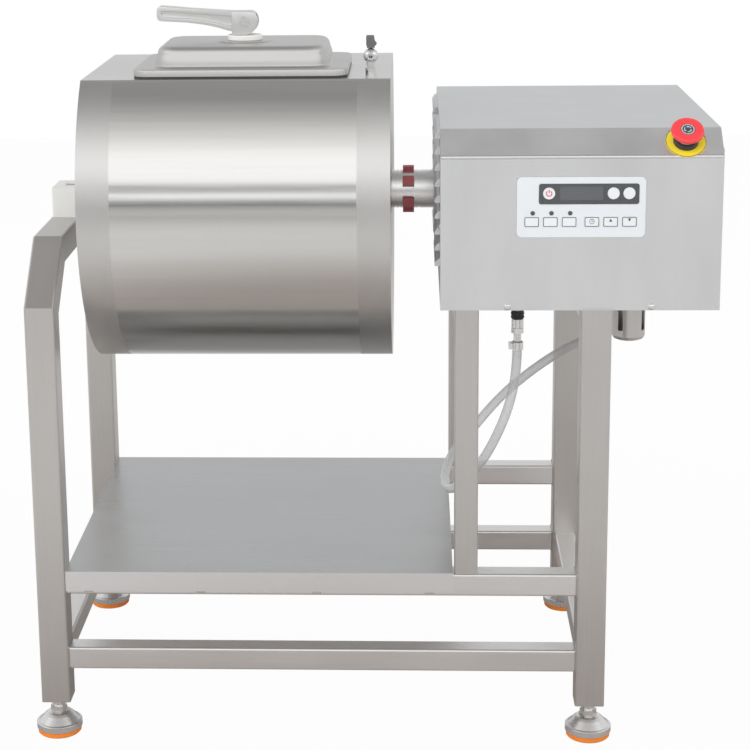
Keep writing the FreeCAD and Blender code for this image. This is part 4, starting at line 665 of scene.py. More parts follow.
class TUMBLER_OT_stage(bpy.types.Operator):
    """Lay the pale floor, set the soft surroundings and hang the lamps"""
    bl_idname = "tumbler.stage"
    bl_label = "Stage"

    def execute(self, context):
        stage = context.scene.tumbler_stage
        self.surroundings(context)
        self.floor(stage)
        low, high = (Vector(corner) for corner in CAD_BOX)
        aim = (low + high) / 2
        for name, place, size, power in (
                ("key_lamp", (-0.9, -2.6, 2.6), 2.2, stage.key_power),
                ("left_fill_lamp", (-2.6, -0.6, 1.6), 1.8, stage.fill_power),
                ("right_fill_lamp", (2.6, -0.4, 1.8), 1.8, stage.fill_power),
                ("rear_lamp", (0.4, 2.4, 2.4), 2.0, stage.fill_power)):
            light = bpy.data.lights.new(name, "AREA")
            light.shape = "SQUARE"
            light.size = size
            light.energy = power
            lamp = bpy.data.objects.new(name, light)
            context.collection.objects.link(lamp)
            lamp.location = place
            lamp.rotation_euler = (aim - Vector(place)).to_track_quat("-Z", "Y").to_euler()
            lamp.visible_glossy = False
            lamp.visible_camera = False
        context.scene.view_settings.view_transform = "Standard"
        return {"FINISHED"}

    @staticmethod
    def surroundings(context):
        world = bpy.data.worlds.new("soft_studio")
        world.use_nodes = True
        context.scene.world = world
        tree = world.node_tree
        tree.nodes.clear()
        place = tree.nodes.new("ShaderNodeTexCoord")
        split = tree.nodes.new("ShaderNodeSeparateXYZ")
        tree.links.new(place.outputs["Generated"], split.inputs["Vector"])
        height = calculate(tree, "MULTIPLY", calculate(tree, "ADD", split.outputs["Z"], 1.0), 0.5)
        behind = spread(tree, split.outputs["Y"], 0.0, 1.0, -0.08, 0.12)
        tone = blend_colour(tree, behind, ramp(tree, height, FRONT_SKY),
                            ramp(tree, height, REAR_SKY))
        soft = tree.nodes.new("ShaderNodeBackground")
        tree.links.new(tone, soft.inputs["Color"])
        white = tree.nodes.new("ShaderNodeBackground")
        white.inputs["Color"].default_value = (1, 1, 1, 1)
        rays = tree.nodes.new("ShaderNodeLightPath")
        seen = calculate(tree, "MAXIMUM", rays.outputs["Is Camera Ray"],
                         rays.outputs["Is Transmission Ray"])
        mix = tree.nodes.new("ShaderNodeMixShader")
        tree.links.new(seen, mix.inputs["Fac"])
        tree.links.new(soft.outputs["Background"], mix.inputs[1])
        tree.links.new(white.outputs["Background"], mix.inputs[2])
        output = tree.nodes.new("ShaderNodeOutputWorld")
        tree.links.new(mix.outputs["Shader"], output.inputs["Surface"])

    @staticmethod
    def floor(stage):
        shape = bmesh.new()
        bmesh.ops.create_grid(shape, x_segments=8, y_segments=8, size=stage.floor_size / 2)
        floor = loose_object("pale_floor", shape)
        floor.location.z = -0.0004
        material, tree, shader = new_material("pale_floor")
        ground = object_coordinates(tree, (1, 1, 1))
        away = tree.nodes.new("ShaderNodeVectorMath")
        away.operation = "LENGTH"
        tree.links.new(ground, away.inputs[0])
        cloud = calculate(tree, "MULTIPLY", noise(tree, ground, 1.4, 3.0), 0.1)
        # The floor's colour darkens within about a metre of the machine: painted shade round the
        # machine.
        far = spread(tree, calculate(tree, "ADD", away.outputs["Value"], cloud), 0.0, 1.0,
                     0.6, 1.25)
        tree.links.new(blend_colour(tree, far, tuple(stage.floor_shade_colour) + (1.0,),
                                    tuple(stage.floor_colour) + (1.0,)),
                       shader.inputs["Base Color"])
        shader.inputs["Roughness"].default_value = 0.9
        shader.inputs["Specular IOR Level"].default_value = 0.1
        glow = tree.nodes.new("ShaderNodeEmission")
        rays = tree.nodes.new("ShaderNodeLightPath")
        share = calculate(tree, "MULTIPLY", rays.outputs["Is Camera Ray"], stage.floor_whiteness)
        mix = tree.nodes.new("ShaderNodeMixShader")
        tree.links.new(share, mix.inputs["Fac"])
        tree.links.new(shader.outputs["BSDF"], mix.inputs[1])
        tree.links.new(glow.outputs["Emission"], mix.inputs[2])
        tree.links.new(mix.outputs["Shader"],
                       tree.nodes["Material Output"].inputs["Surface"])
        floor.data.materials.append(material)


# ---------------------------------------------------------------- finishes of the CAD parts

class TUMBLER_OT_stand(bpy.types.Operator):
    """Brush the legs, rails, beams and shelf, and colour the feet"""
    bl_idname = "tumbler.stand"
    bl_label = "Stand and feet"

    def execute(self, context):
        tones, colours = context.scene.tumbler_steel, context.scene.tumbler_colours
        upright = steel("upright_steel", tuple(tones.stand), "z", (0.30, 0.42), 0.16, 0.12)
        crosswise = steel("crosswise_steel", tuple(tones.stand), "y", (0.30, 0.42), 0.16, 0.12)
        lengthwise = steel("lengthwise_steel", tuple(tones.rails), "x", (0.28, 0.40), 0.14, 0.12)
        # One rolled sheet for shelf and tray, darker on faces that look up and lighter on upright
        # faces: painted shade and light by face direction.
        sheet = steel("rolled_sheet_painted_light", tuple(tones.shelf), "x", (0.24, 0.38), 0.08, 0.22, 0.03,
                      tuple(tones.shelf_lip_light))
        turned = steel("turned_steel", tuple(tones.machined), "z", (0.22, 0.34), 0.10, 0.10)
        dress(upright, "left_front_leg", "left_rear_leg", "left_braces", "right_legs",
              "middle_posts")
        dress(crosswise, "left_top_beam")
        dress(lengthwise, "rails", "top_beams")
        dress(sheet, "shelf", "machine_tray")
        dress(turned, "foot_cones", "foot_nuts", "foot_stud_left_front", "foot_stud_left_rear",
              "foot_stud_right_front", "foot_stud_right_rear")
        dress(moulded("orange_rubber", tuple(colours.pads), (0.45, 0.62), 0.10, 700.0, 0.10),
              "foot_pads")
        dress(moulded("white_nylon", tuple(colours.nylon), (0.38, 0.5), 0.06, 500.0, 0.04),
              "bearing_block", "lid_washer")
        return {"FINISHED"}


class TUMBLER_OT_drum(bpy.types.Operator):
    """Brush the drum, its ends, lid and valve"""
    bl_idname = "tumbler.drum"
    bl_label = "Drum and lid"

    def execute(self, context):
        tones = context.scene.tumbler_steel
        rolled = drum_steel("rolled_drum_steel", tuple(tones.drum), tones.edge_band)
        flat = steel("flat_drum_steel", tuple(tones.drum), "x", (0.24, 0.36), 0.10, 0.14)
        ends = steel("drum_end_steel", tuple(tones.drum), "z", (0.16, 0.26), 0.08, 0.10)
        pressed = steel("pressed_lid_steel", tuple(0.88 * part for part in tones.drum), "x",
                        (0.34, 0.44), 0.06, 0.12)
        turned = steel("turned_journal_steel", tuple(tones.machined), "x", (0.20, 0.32), 0.12)
        dress(rolled, "drum_shell")
        dress(flat, "drum_top_plate", "drum_baffles")
        dress(ends, "drum_ends")
        dress(pressed, "lid")
        dress(turned, "drum_journals", "drive_sleeve", "valve_body", "clamp_bar", "lever_pin",
              "hose_fittings", "fasteners")
        dress(moulded("cast_aluminium", tuple(tones.cast), (0.34, 0.46), 0.10, 420.0, 0.12,
                      metal=0.85), "cam_lever")
        dress(moulded("seal_rubber", (0.045, 0.045, 0.045), (0.5, 0.65), 0.10, 600.0, 0.08),
              "gasket")
        return {"FINISHED"}


class TUMBLER_OT_housing(bpy.types.Operator):
    """Give the housing its satin sheet finish and paint the parts inside it"""
    bl_idname = "tumbler.housing"
    bl_label = "Machine housing"

    def execute(self, context):
        tones = context.scene.tumbler_steel
        satin = steel("satin_sheet", tuple(tones.housing), "z", (0.44, 0.56), 0.05, 0.18, 0.02)
        steel("bright_bend", tuple(tones.housing), "x", (0.16, 0.24), 0.05, 0.06, 0.01)
        guard = steel("guard_steel", tuple(tones.stand), "z", (0.26, 0.38), 0.10, 0.10)
        dress(satin, "housing_cover", "left_side_panel", "right_side_panel", "rear_panel")
        dress(guard, "exhaust_guard")
        dress(moulded("hammered_paint", (0.16, 0.21, 0.25), (0.3, 0.42), 0.16, 260.0, 0.25),
              "gear_motor")
        dress(moulded("dark_paint", (0.06, 0.065, 0.07), (0.35, 0.5), 0.12, 400.0, 0.15),
              "vacuum_pump")
        dress(moulded("dark_plastic", (0.035, 0.035, 0.04), (0.35, 0.5), 0.10, 800.0, 0.08),
              "cable_gland", "coupler_ring", "estop_collar")
        dress(moulded("grey_handle", (0.13, 0.13, 0.135), (0.3, 0.42), 0.10, 800.0, 0.08),
              "valve_handle")
        return {"FINISHED"}


class TUMBLER_OT_controls(bpy.types.Operator):
    """Colour the keypad, the stop button's parts and the coupling spider"""
    bl_idname = "tumbler.controls"
    bl_label = "Controls and coupling"

    def execute(self, context):
        colours = context.scene.tumbler_colours
        dress(moulded("panel_membrane", tuple(colours.panel), (0.34, 0.44), 0.03, 1500.0, 0.04),
              "control_panel")
        dress(moulded("smoked_strip", tuple(colours.strip), (0.22, 0.32), 0.08, 1500.0, 0.03),
              "display_strip")
        dress(moulded("white_keys", tuple(colours.keys), (0.32, 0.42), 0.04, 1500.0, 0.04),
              "key_power", "key_minus", "key_plus", "key_lower_1", "key_lower_2", "key_lower_3",
              "key_lower_4", "key_lower_5", "key_lower_6")
        dress(moulded("stop_yellow", tuple(colours.stop_plate), (0.3, 0.42), 0.06, 900.0, 0.04),
              "estop_plate")
        dress(moulded("stop_cream", tuple(colours.stop_stem), (0.35, 0.45), 0.08, 900.0, 0.04),
              "estop_stem")
        dress(moulded("stop_red", tuple(colours.stop_head), (0.22, 0.34), 0.08, 700.0, 0.04,
                      coat=0.3), "estop_mushroom")
        dress(moulded("red_elastomer", tuple(colours.spider), (0.4, 0.55), 0.14, 700.0, 0.08),
              "coupling_spider")
        return {"FINISHED"}


# ---------------------------------------------------------------- marks on the keypad

def key_front(node):
    """The middle of a key's front face."""
    low, high = corners(node)
    return Vector(((low.x + high.x) / 2, low.y, (low.z + high.z) / 2))


class TUMBLER_OT_panel_marks(bpy.types.Operator):
    """Print the display window, the key outlines and the plain symbols on the keypad"""
    bl_idname = "tumbler.panel_marks"
    bl_label = "Keypad marks"

    def execute(self, context):
        colours, trim = context.scene.tumbler_colours, context.scene.tumbler_trim
        ink = moulded("dark_ink", tuple(colours.marks), (0.4, 0.5), 0.06, 1800.0, 0.02)
        red = moulded("red_ink", tuple(colours.power), (0.35, 0.45), 0.06, 1800.0, 0.02)
        glass = moulded("display_window", tuple(colours.window), (0.12, 0.2), 0.10, 1200.0, 0.02)
        self.window(glass, trim)
        self.outlines(ink, trim)
        self.power_mark(red, trim)
        self.arrows(ink, trim)
        self.clock(ink, trim)
        return {"FINISHED"}

    @staticmethod
    def window(glass, trim):
        low, high = corners("display_strip")
        centre = Vector((low.x + 0.0625, low.y, high.z - 0.0122))
        shape = bmesh.new()
        add_plate(shape, rounded_outline(0.053, 0.0166, 0.0012), facing_front(centre),
                  trim.mark_height)
        from_bmesh("display_window", shape, glass, "frame", "display_grey", smooth=False)

    @staticmethod
    def outlines(ink, trim):
        for number in range(1, 7):
            low, high = corners(f"key_lower_{number}")
            width, height = high.x - low.x, high.z - low.z
            shape = bmesh.new()
            add_ring(shape, rounded_outline(width - 0.0004, height - 0.0004, 0.0013),
                     rounded_outline(width - 2 * trim.line_width - 0.0004,
                                     height - 2 * trim.line_width - 0.0004, 0.0009),
                     facing_front(key_front(f"key_lower_{number}")), trim.mark_height)
            from_bmesh(f"key_outline_{number}", shape, ink, f"button_lower_{number}", "key_white",
                       smooth=False)

    @staticmethod
    def power_mark(red, trim):
        place = facing_front(key_front("key_power"))
        shape = bmesh.new()
        add_plate(shape, arc_band(0.0034, 0.0011, 125, 415), place, trim.mark_height)
        add_plate(shape, [(across, up + 0.0026) for across, up in
                          rounded_outline(0.0011, 0.0042, 0.0004, 3)], place, trim.mark_height)
        from_bmesh("power_mark", shape, red, "button_power", "key_red", smooth=False)

    @staticmethod
    def arrows(ink, trim):
        for number, sign in ((5, 1), (6, -1)):
            centre = key_front(f"key_lower_{number}")
            corners_of_arrow = [(-0.0021, sign * 0.0002), (0.0021, sign * 0.0002),
                                (0.0, sign * 0.0040)]
            if sign < 0:
                corners_of_arrow = [(across, up + 0.0044) for across, up in corners_of_arrow]
            shape = bmesh.new()
            add_plate(shape, corners_of_arrow, facing_front(centre), trim.mark_height)
            from_bmesh(f"key_arrow_{number}", shape, ink, f"button_lower_{number}", "key_white",
                       smooth=False)

    @staticmethod
    def clock(ink, trim):
        place = facing_front(key_front("key_lower_4") + Vector((0, 0, 0.0006)))
        shape = bmesh.new()
        add_ring(shape, circle(0.0031, 32), circle(0.0026, 32), place, trim.mark_height)
        add_plate(shape, [(-0.00025, -0.00025), (0.0016, -0.00025), (0.0016, 0.00025),
                          (0.00025, 0.00025), (0.00025, 0.0021), (-0.00025, 0.0021)], place,
                  trim.mark_height)
        from_bmesh("key_clock_mark", shape, ink, "button_lower_4", "key_white", smooth=False)


class TUMBLER_OT_stop_marks(bpy.types.Operator):
    """Mark the stop head with turning arrows and ring its yellow plate"""
    bl_idname = "tumbler.stop_marks"
    bl_label = "Stop button marks"

    def execute(self, context):
        colours, trim = context.scene.tumbler_colours, context.scene.tumbler_trim
        ink = moulded("plate_ink", tuple(colours.marks), (0.4, 0.5), 0.06, 1800.0, 0.02)
        pale = moulded("arrow_ink", (0.50, 0.56, 0.58), (0.35, 0.45), 0.06, 1800.0, 0.02)
        centre = middle("estop_plate")
        thick = trim.mark_height
        on_plate = self.facing(centre + STOP_OUT * furthest("estop_plate", centre, STOP_OUT))
        shape = bmesh.new()
        add_ring(shape, circle(0.0248), circle(0.0241), on_plate, thick)
        from_bmesh("stop_plate_outline", shape, ink, "frame", "stop_yellow", smooth=False)
        recess = furthest("estop_mushroom", centre, STOP_OUT) - RECESS_DEPTH
        on_disc = self.facing(centre + STOP_OUT * recess)
        shape = bmesh.new()
        add_plate(shape, circle(0.0086), on_disc, thick)
        from_bmesh("stop_head_disc", shape, ink, "stop_head", "stop_red", smooth=False)
        on_ink = self.facing(centre + STOP_OUT * (recess + thick))
        shape = bmesh.new()
        add_ring(shape, circle(0.0080), circle(0.0068), on_ink, thick)
        for turn in (20, 140, 260):
            add_plate(shape, arc_band(0.0042, 0.0011, turn, turn + 62, 10), on_ink, thick)
            start, tip = self.spoke(turn + 62), self.spoke(turn + 98)
            add_plate(shape, [tuple(start * 0.0027), tuple(start * 0.0057),
                              tuple(tip * 0.0042)], on_ink, thick)
        from_bmesh("stop_turn_arrows", shape, pale, "stop_head", "stop_red", smooth=False)
        return {"FINISHED"}

    @staticmethod
    def spoke(degrees):
        return Vector((math.cos(math.radians(degrees)), math.sin(math.radians(degrees))))

    @staticmethod
    def facing(centre):
        across_way = STOP_UP.cross(STOP_OUT)
        return lambda across, up, out: centre + across_way * across + STOP_UP * up + STOP_OUT * out


# ---------------------------------------------------------------- lid, lever and bend lines

def corner_ring(shape, centre, half_length, half_width, corner, height, steps=8):
    """One ring of a pressed lid: a rounded rectangle about the centre at that height."""
    return [shape.verts.new((centre.x + across, centre.y + along, height)) for across, along in
            rounded_outline(2 * half_length, 2 * half_width, corner, steps)]


def join_rings(shape, rings):
    """Skin a closed loop of rings that all have as many points."""
    for index, here in enumerate(rings):
        there = rings[(index + 1) % len(rings)]
        for turn in range(len(here)):
            following = (turn + 1) % len(here)
            shape.faces.new((here[turn], here[following], there[following], there[turn]))


def quarter_turn(radius, inward, low, steps=6):
    """Steps of a quarter round: how far in and how high each one lies."""
    return [(inward + radius * (1 - math.cos(math.radians(90 * step / steps))),
             low + radius * math.sin(math.radians(90 * step / steps)))
            for step in range(steps + 1)]


class TUMBLER_OT_lid_pressing(bpy.types.Operator):
    """Press the lid as one smooth sheet with a raised middle and a turned-down edge"""
    bl_idname = "tumbler.lid_pressing"
    bl_label = "Pressed lid"

    def execute(self, context):
        trim = context.scene.tumbler_trim
        low, high = corners("lid")
        centre = (low + high) / 2
        flange = ((high.x - low.x) / 2, (high.y - low.y) / 2)
        sheet, boss, flange_height = trim.lid_sheet, 0.0012, 0.0085
        top, flange_top = high.z - boss, low.z + flange_height
        foot = (trim.dome_length / 2, trim.dome_width / 2)
        outside = [(*flange, 0.020, low.z), (*flange, 0.020, flange_top - 0.0020),
                   (flange[0] - 0.0006, flange[1] - 0.0006, 0.0194, flange_top - 0.0006),
                   (flange[0] - 0.0020, flange[1] - 0.0020, 0.0180, flange_top)]
        corner = 0.030
        for inward, height in ((-0.0034, 0.0), (-0.0026, 0.0001), (-0.0010, 0.0010),
                               (-0.0002, 0.0022), (0.0, 0.0034)):
            outside.append((foot[0] - inward, foot[1] - inward, corner - inward,
                            flange_top + height))
        wall_low, wall_high = flange_top + 0.0034, top - trim.dome_round
        for share in (0.25, 0.5, 0.75):
            inward = trim.dome_draft * share ** 1.6
            outside.append((foot[0] - inward, foot[1] - inward, corner - inward,
                            wall_low + share * (wall_high - wall_low)))
        for inward, height in quarter_turn(trim.dome_round, trim.dome_draft, wall_high):
            outside.append((foot[0] - inward, foot[1] - inward, max(corner - inward, 0.014),
                            height))
        outside += [(0.039, 0.039, 0.0389, top), (0.0375, 0.0375, 0.0374, top + 0.0002),
                    (0.0365, 0.0365, 0.0364, high.z), (0.0070, 0.0070, 0.0069, high.z)]
        inside = [(0.0070, 0.0070, 0.0069, top - sheet)]
        inward = trim.dome_draft + trim.dome_round + sheet
        inside.append((foot[0] - inward, foot[1] - inward, 0.009, top - sheet))
        inside.append((foot[0] - trim.dome_draft - sheet, foot[1] - trim.dome_draft - sheet, 0.020,
                       top - trim.dome_round))
        inside.append((foot[0] - sheet, foot[1] - sheet, 0.024, flange_top - sheet))
        inside += [(flange[0] - sheet, flange[1] - sheet, 0.018, flange_top - sheet),
                   (flange[0] - sheet, flange[1] - sheet, 0.018, low.z)]
        shape = bmesh.new()
        join_rings(shape, [corner_ring(shape, centre, *ring) for ring in outside + inside])
        lid = from_bmesh("pressed_lid", shape, bpy.data.materials["pressed_lid_steel"],
                         "lid_unit", "housing_steel")
        sharpen(lid, 42)
        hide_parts("lid")
        return {"FINISHED"}


def solid_from_outline(name, outline, across_from, across_to, centre):
    """A loose solid whose side outline is extruded across the machine."""
    shape = bmesh.new()
    sides = [[shape.verts.new((centre.x + along, across, centre.z + up)) for along, up in outline]
             for across in (across_from, across_to)]
    shape.faces.new(sides[0])
    shape.faces.new(list(reversed(sides[1])))
    for index in range(len(outline)):
        following = (index + 1) % len(outline)
        shape.faces.new((sides[0][index], sides[1][index], sides[1][following],
                         sides[0][following]))
    bmesh.ops.recalc_face_normals(shape, faces=shape.faces)
    return loose_object(name, shape)


def combine(thing, other, operation):
    """Join or cut one loose solid with another, then drop the other."""
    change = thing.modifiers.new(operation.lower(), "BOOLEAN")
    change.operation = operation
    change.object = other
    change.solver = "EXACT"
    settle(thing)
    bpy.data.objects.remove(other)


def settle(thing):
    """Apply a loose solid's modifiers to its mesh."""
    bpy.context.view_layer.update()
    shaped = bpy.data.meshes.new_from_object(
        thing.evaluated_get(bpy.context.evaluated_depsgraph_get()))
    thing.modifiers.clear()
    thing.data = shaped


def soften(thing, width, degrees=30):
    """Round the edges of a loose solid."""
    change = thing.modifiers.new("soft_edges", "BEVEL")
    change.width = width
    change.segments = 3
    change.limit_method = "ANGLE"
    change.angle_limit = math.radians(degrees)
    settle(thing)


class TUMBLER_OT_cam_lever(bpy.types.Operator):
    """Cast the cam lever: a blocky head, a ribbed arm and a fork over the eye"""
    bl_idname = "tumbler.cam_lever"
    bl_label = "Cam lever"

    def execute(self, context):
        low, high = corners("cam_lever")
        pin = middle("lever_pin")
        middle_y = (low.y + high.y) / 2
        half = (high.y - low.y) / 2
        cam = pin.z - low.z
        reach = pin.x - low.x
        arc = [(cam * math.cos(math.radians(angle)), cam * math.sin(math.radians(angle)))
               for angle in range(-90, 37, 9)]
        head = solid_from_outline("cam_lever_cast", [
            (-0.0165, 0.0130), (-0.0165, -cam), *arc, (0.0105, 0.0130)],
            middle_y - half, middle_y + half, pin)
        soften(head, 0.0014)
        top = high.z - pin.z
        arm = solid_from_outline("arm", [
            (0.0, 0.0122), (-0.030, 0.0140), (-0.070, 0.0168), (-0.104, top - 0.0004),
            (0.004 - reach, top), (0.0008 - reach, top - 0.0022), (-reach, top - 0.0060),
            (-reach, 0.0070), (0.0012 - reach, 0.0030), (0.0050 - reach, 0.0010),
            (-0.098, 0.0004), (-0.074, -0.0010), (-0.052, -0.0040), (-0.034, -0.0080),
            (-0.020, -0.0122), (0.0, -0.0150)], middle_y - half + 0.0022,
            middle_y + half - 0.0022, pin)
        recess_outline = [
            (-0.010, 0.0062), (-0.040, 0.0088), (-0.080, 0.0122), (0.0085 - reach, top - 0.0062),
            (0.0060 - reach, top - 0.0085), (0.0060 - reach, 0.0090), (0.0085 - reach, 0.0066),
            (-0.098, 0.0052), (-0.072, 0.0040), (-0.050, 0.0012), (-0.034, -0.0024),
            (-0.010, -0.0080)]
        for start, end in ((middle_y - half, middle_y - half + 0.0052),
                           (middle_y + half - 0.0052, middle_y + half)):
            combine(arm, solid_from_outline("recess", recess_outline, start, end, pin),
                    "DIFFERENCE")
        soften(arm, 0.0008)
        combine(head, arm, "UNION")
        eye = middle("clamp_bar")
        slot_half = 0.0068
        slot = solid_from_outline("slot", [(-0.0096, 0.0096), (-0.0096, -0.030), (0.030, -0.030),
                                           (0.030, 0.0096)], eye.y - slot_half,
                                  eye.y + slot_half, pin)
        combine(head, slot, "DIFFERENCE")
        bore = solid_from_outline("bore", circle(0.0041, 32), low.y - 0.01, high.y + 0.01, pin)
        combine(head, bore, "DIFFERENCE")
        finish_piece(head, bpy.data.materials["cast_aluminium"], "lever", "cast_aluminium")
        sharpen(head, 34)
        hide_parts("cam_lever")
        return {"FINISHED"}


class TUMBLER_OT_bend_lines(bpy.types.Operator):
    """Round the folded front edge of the housing sheet"""
    bl_idname = "tumbler.bend_lines"
    bl_label = "Housing bend lines"

    def execute(self, context):
        trim = context.scene.tumbler_trim
        low, high = corners("housing_cover")
        radius, proud = trim.bend_radius, 0.0004
        front_edge = Vector((0, low.y, high.z - SLOPE_DROP))
        slope = math.atan2(SLOPE_DROP, SLOPE_DEPTH)
        tilt = (math.pi / 2 + slope) / 2
        out = Vector((0, -math.sin(tilt), math.cos(tilt)))
        centre = front_edge - out * (radius - proud)
        shape = bmesh.new()
        sides, inset = 40, 0.0002
        ends = [[shape.verts.new((along, centre.y + across, centre.z + up))
                 for across, up in circle(radius, sides)]
                for along in (low.x + inset, high.x - inset)]
        for turn in range(sides):
            following = (turn + 1) % sides
            shape.faces.new((ends[0][turn], ends[0][following], ends[1][following],
                             ends[1][turn]))
        shape.faces.new(ends[0])
        shape.faces.new(list(reversed(ends[1])))
        bmesh.ops.recalc_face_normals(shape, faces=shape.faces)
        bends = from_bmesh("housing_bend_lines", shape, bpy.data.materials["bright_bend"],
                           "frame", "housing_steel")
        sharpen(bends, 40)
        return {"FINISHED"}


# ---------------------------------------------------------------- stop button and valve handle

# The stop head's rounded rim as (in from the rim, up from the underside), then its
# recess as (radius, up from the underside).
HEAD_RIM = ((0.0030, 0.0004), (0.0010, 0.0008), (0.0002, 0.0020), (0, 0.0034),
            (0.0004, 0.0046), (0.0014, 0.0056), (0.0030, 0.0062))
HEAD_RECESS = ((0.0120, 0.0067), (0.0092, 0.0068), (0.0088, 0.0062), (0.0010, 0.0062))
HEAD_HEIGHT = 0.0068


def turned_solid(shape, profile, origin, way, up, steps=64):
    """A lathe-turned solid. Its profile gives (radius, height along the axis)."""
    across = up.cross(way)
    rings = [[shape.verts.new(origin + way * height + radius * (across * aside + up * over))
              for aside, over in circle(1, steps)] for radius, height in profile]
    for here, there in zip(rings, rings[1:]):
        for step in range(steps):
            following = (step + 1) % steps
            shape.faces.new((here[step], here[following], there[following], there[step]))
    shape.faces.new(list(reversed(rings[0])))
    shape.faces.new(rings[-1])
    bmesh.ops.recalc_face_normals(shape, faces=shape.faces)


class TUMBLER_OT_stop_button(bpy.types.Operator):
    """Mould the stop button's flat head and its flared stem"""
    bl_idname = "tumbler.stop_button"
    bl_label = "Stop button"

    def execute(self, context):
        trim = context.scene.tumbler_trim
        base = middle("estop_plate")
        base += STOP_OUT * furthest("estop_plate", base, STOP_OUT)
        collar_top = furthest("estop_collar", base, STOP_OUT)
        head_radius = (corners("estop_mushroom")[1].x - corners("estop_mushroom")[0].x) / 2
        under = furthest("estop_mushroom", base, STOP_OUT) - HEAD_HEIGHT
        stem = bmesh.new()
        neck, skirt = trim.stop_neck, collar_top + trim.stop_clearance
        turned_solid(stem, [(neck - 0.0010, collar_top - 0.0040), (neck, collar_top - 0.0036),
                            (neck, skirt), (0.0128, skirt + 0.0002), (0.0132, skirt + 0.0010),
                            (0.0142, under - 0.0016), (0.0152, under - 0.0006),
                            (0.0154, under - 0.0001), (0.0100, under)],
                     base, STOP_OUT, STOP_UP)
        piece = from_bmesh("stop_stem_moulding", stem, bpy.data.materials["stop_cream"],
                           "stop_stem", "stop_cream")
        sharpen(piece, 40)
        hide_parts("estop_stem")
        head = bmesh.new()
        profile = [(0.0060, under + 0.0004)]
        profile += [(head_radius - inward, under + up) for inward, up in HEAD_RIM]
        profile += [(radius, under + up) for radius, up in HEAD_RECESS]
        turned_solid(head, profile, base, STOP_OUT, STOP_UP)
        piece = from_bmesh("stop_head_moulding", head, bpy.data.materials["stop_red"],
                           "stop_head", "stop_red")
        sharpen(piece, 40)
        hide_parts("estop_mushroom")
        return {"FINISHED"}


class TUMBLER_OT_valve_handle(bpy.types.Operator):
    """Mould the vent valve's small thumb handle"""
    bl_idname = "tumbler.valve_handle"
    bl_label = "Valve handle"

    def execute(self, context):
        low, high = corners("valve_handle")
        foot = Vector(((low.x + high.x) / 2, (low.y + high.y) / 2, low.z))
        tall = high.z - low.z
        handle = solid_from_outline("valve_thumb_handle", [
            (-0.0050, 0.0), (0.0050, 0.0), (0.0052, 0.0026), (0.0070, 0.0036),
            (0.0078, 0.0060), (0.0052, 0.0092), (0.0042, tall - 0.0006), (0.0030, tall),
            (-0.0052, tall), (-0.0058, tall - 0.0010), (-0.0058, 0.0040), (-0.0050, 0.0026)],
            foot.y - 0.0036, foot.y + 0.0036, foot)
        soften(handle, 0.0008)
        finish_piece(handle, bpy.data.materials["grey_handle"], "valve_wing", "dark_plastic")
        sharpen(handle, 34)
        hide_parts("valve_handle")
        return {"FINISHED"}


# ---------------------------------------------------------------- weld seams

def seam_loop(shape, path, radius, closed=True, sides=8, ripple=0.25, pitch=0.0011):
    """A rounded bead along a closed line of points, with the small steps of a weld."""
    points = []
    count = len(path) if closed else len(path) - 1
    for index in range(count):
        start, end = path[index], path[(index + 1) % len(path)]
        steps = max(1, int((end - start).length / pitch))
        points.extend(start.lerp(end, step / steps) for step in range(steps))
    if not closed:
        points.append(path[-1])
    rings = []
    for index, point in enumerate(points):
        after = points[(index + 1) % len(points)] if closed or index + 1 < len(points) else point
        before = points[index - 1] if closed or index else point
        way = (after - before).normalized()
        side = way.orthogonal().normalized()
        other = way.cross(side)
        size = radius * (1 + ripple * (0.5 if index % 2 else -0.5))
        rings.append([shape.verts.new(point + size * (side * across + other * up))
                      for across, up in circle(1, sides)])
    for index in range(len(points) if closed else len(points) - 1):
        here, there = rings[index], rings[(index + 1) % len(rings)]
        offset = min(range(sides), key=lambda shift: (here[0].co - there[shift].co).length)
        for turn in range(sides):
            following = (turn + 1) % sides
            shape.faces.new((here[turn], here[following], there[(following + offset) % sides],
                             there[(turn + offset) % sides]))
    if not closed:
        shape.faces.new(list(reversed(rings[0])))
        shape.faces.new(rings[-1])


class TUMBLER_OT_welds(bpy.types.Operator):
    """Run dressed weld seams round the joints of the stand"""
    bl_idname = "tumbler.welds"
    bl_label = "Weld seams"

    def execute(self, context):
        trim, tones = context.scene.tumbler_trim, context.scene.tumbler_steel
        bead = steel("weld_bead", tuple(0.86 * tone for tone in tones.stand), "z", (0.3, 0.45),
                     0.2, 0.2, 0.08)
        self.rail_joints(bead, trim.weld_width / 2)
        self.shelf_tacks(bead, trim.weld_width / 2)
        return {"FINISHED"}

    @staticmethod
    def rail_joints(bead, radius):
        """Beads where the front and rear rails and their cross rails meet the legs."""
        low, high = corners("rails")
        left_face = corners("left_front_leg")[1].x
        right_face = corners("right_legs")[0].x
        shape = bmesh.new()
        for face in (left_face, right_face):
            for front in (low.y, high.y - RAIL_TUBE):
                for bottom in (low.z, high.z - RAIL_TUBE):
                    back, top = front + RAIL_TUBE, bottom + RAIL_TUBE
                    seam_loop(shape, [Vector((face, across, up)) for across, up in (
                        (front, bottom), (back, bottom), (back, top), (front, top))], radius)
        from_bmesh("rail_weld_seams", shape, bead, "frame", "frame_steel")

    @staticmethod
    def shelf_tacks(bead, radius):
        """Short tacks that hold the shelf to its rails."""
        low, high = corners("shelf")
        shape = bmesh.new()
        for side in (low.y, high.y):
            for share in (0.06, 0.35, 0.65, 0.94):
                across = low.x + share * (high.x - low.x)
                start = Vector((across - 0.006, side, low.z))
                seam_loop(shape, [start, start + Vector((0.012, 0, 0))], radius * 0.8,
                          closed=False)
        from_bmesh("shelf_tack_welds", shape, bead, "frame", "frame_steel")


# ---------------------------------------------------------------- panel in the sidebar

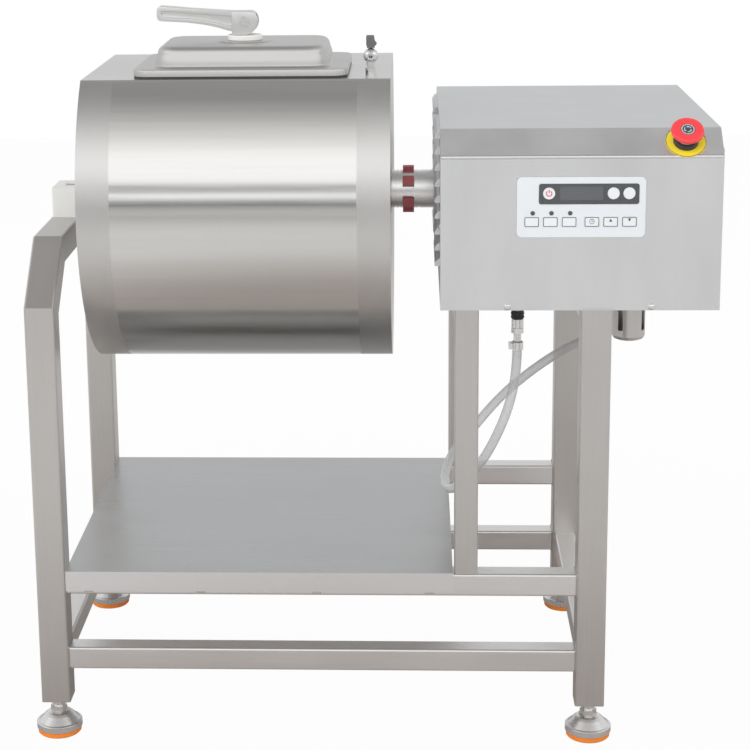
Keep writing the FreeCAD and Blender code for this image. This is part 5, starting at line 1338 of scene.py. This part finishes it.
class TUMBLER_PT_sidebar(bpy.types.Panel):
    """Sizes, colours and build steps of the tumbler"""
    bl_idname = "TUMBLER_PT_sidebar"
    bl_label = "Meat vacuum tumbler"
    bl_space_type = "VIEW_3D"
    bl_region_type = "UI"
    bl_category = "Tumbler"

    def draw(self, context):
        for title, group in (("Camera", context.scene.tumbler_camera),
                             ("Stage", context.scene.tumbler_stage),
                             ("Steel", context.scene.tumbler_steel),
                             ("Colours", context.scene.tumbler_colours),
                             ("Trim", context.scene.tumbler_trim)):
            box = self.layout.box()
            box.label(text=title)
            for name in group.bl_rna.properties.keys():
                if name not in ("rna_type", "name"):
                    box.prop(group, name)
        column = self.layout.column(align=True)
        for step in BUILD_STEPS:
            column.operator(step.bl_idname)


BUILD_STEPS = (TUMBLER_OT_camera, TUMBLER_OT_hose, TUMBLER_OT_stage, TUMBLER_OT_stand,
               TUMBLER_OT_drum, TUMBLER_OT_housing, TUMBLER_OT_controls,
               TUMBLER_OT_lid_pressing, TUMBLER_OT_cam_lever, TUMBLER_OT_bend_lines,
               TUMBLER_OT_stop_button, TUMBLER_OT_valve_handle,
               TUMBLER_OT_panel_marks, TUMBLER_OT_stop_marks, TUMBLER_OT_welds)
SETTINGS = {"tumbler_camera": TumblerCamera, "tumbler_stage": TumblerStage,
            "tumbler_steel": TumblerSteel, "tumbler_colours": TumblerColours,
            "tumbler_trim": TumblerTrim}


def register():
    for settings in SETTINGS.values():
        bpy.utils.register_class(settings)
    for name, settings in SETTINGS.items():
        setattr(bpy.types.Scene, name, PointerProperty(type=settings))
    for step in BUILD_STEPS:
        bpy.utils.register_class(step)
    bpy.utils.register_class(TUMBLER_PT_sidebar)


def unregister():
    bpy.utils.unregister_class(TUMBLER_PT_sidebar)
    for step in reversed(BUILD_STEPS):
        bpy.utils.unregister_class(step)
    for name, settings in SETTINGS.items():
        delattr(bpy.types.Scene, name)
        bpy.utils.unregister_class(settings)


def main():
    """Register the add-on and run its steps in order."""
    register()
    steel_group()
    moulded_group()
    for step in BUILD_STEPS:
        getattr(bpy.ops.tumbler, step.bl_idname.split(".")[1])()


if __name__ == "__main__":
    main()
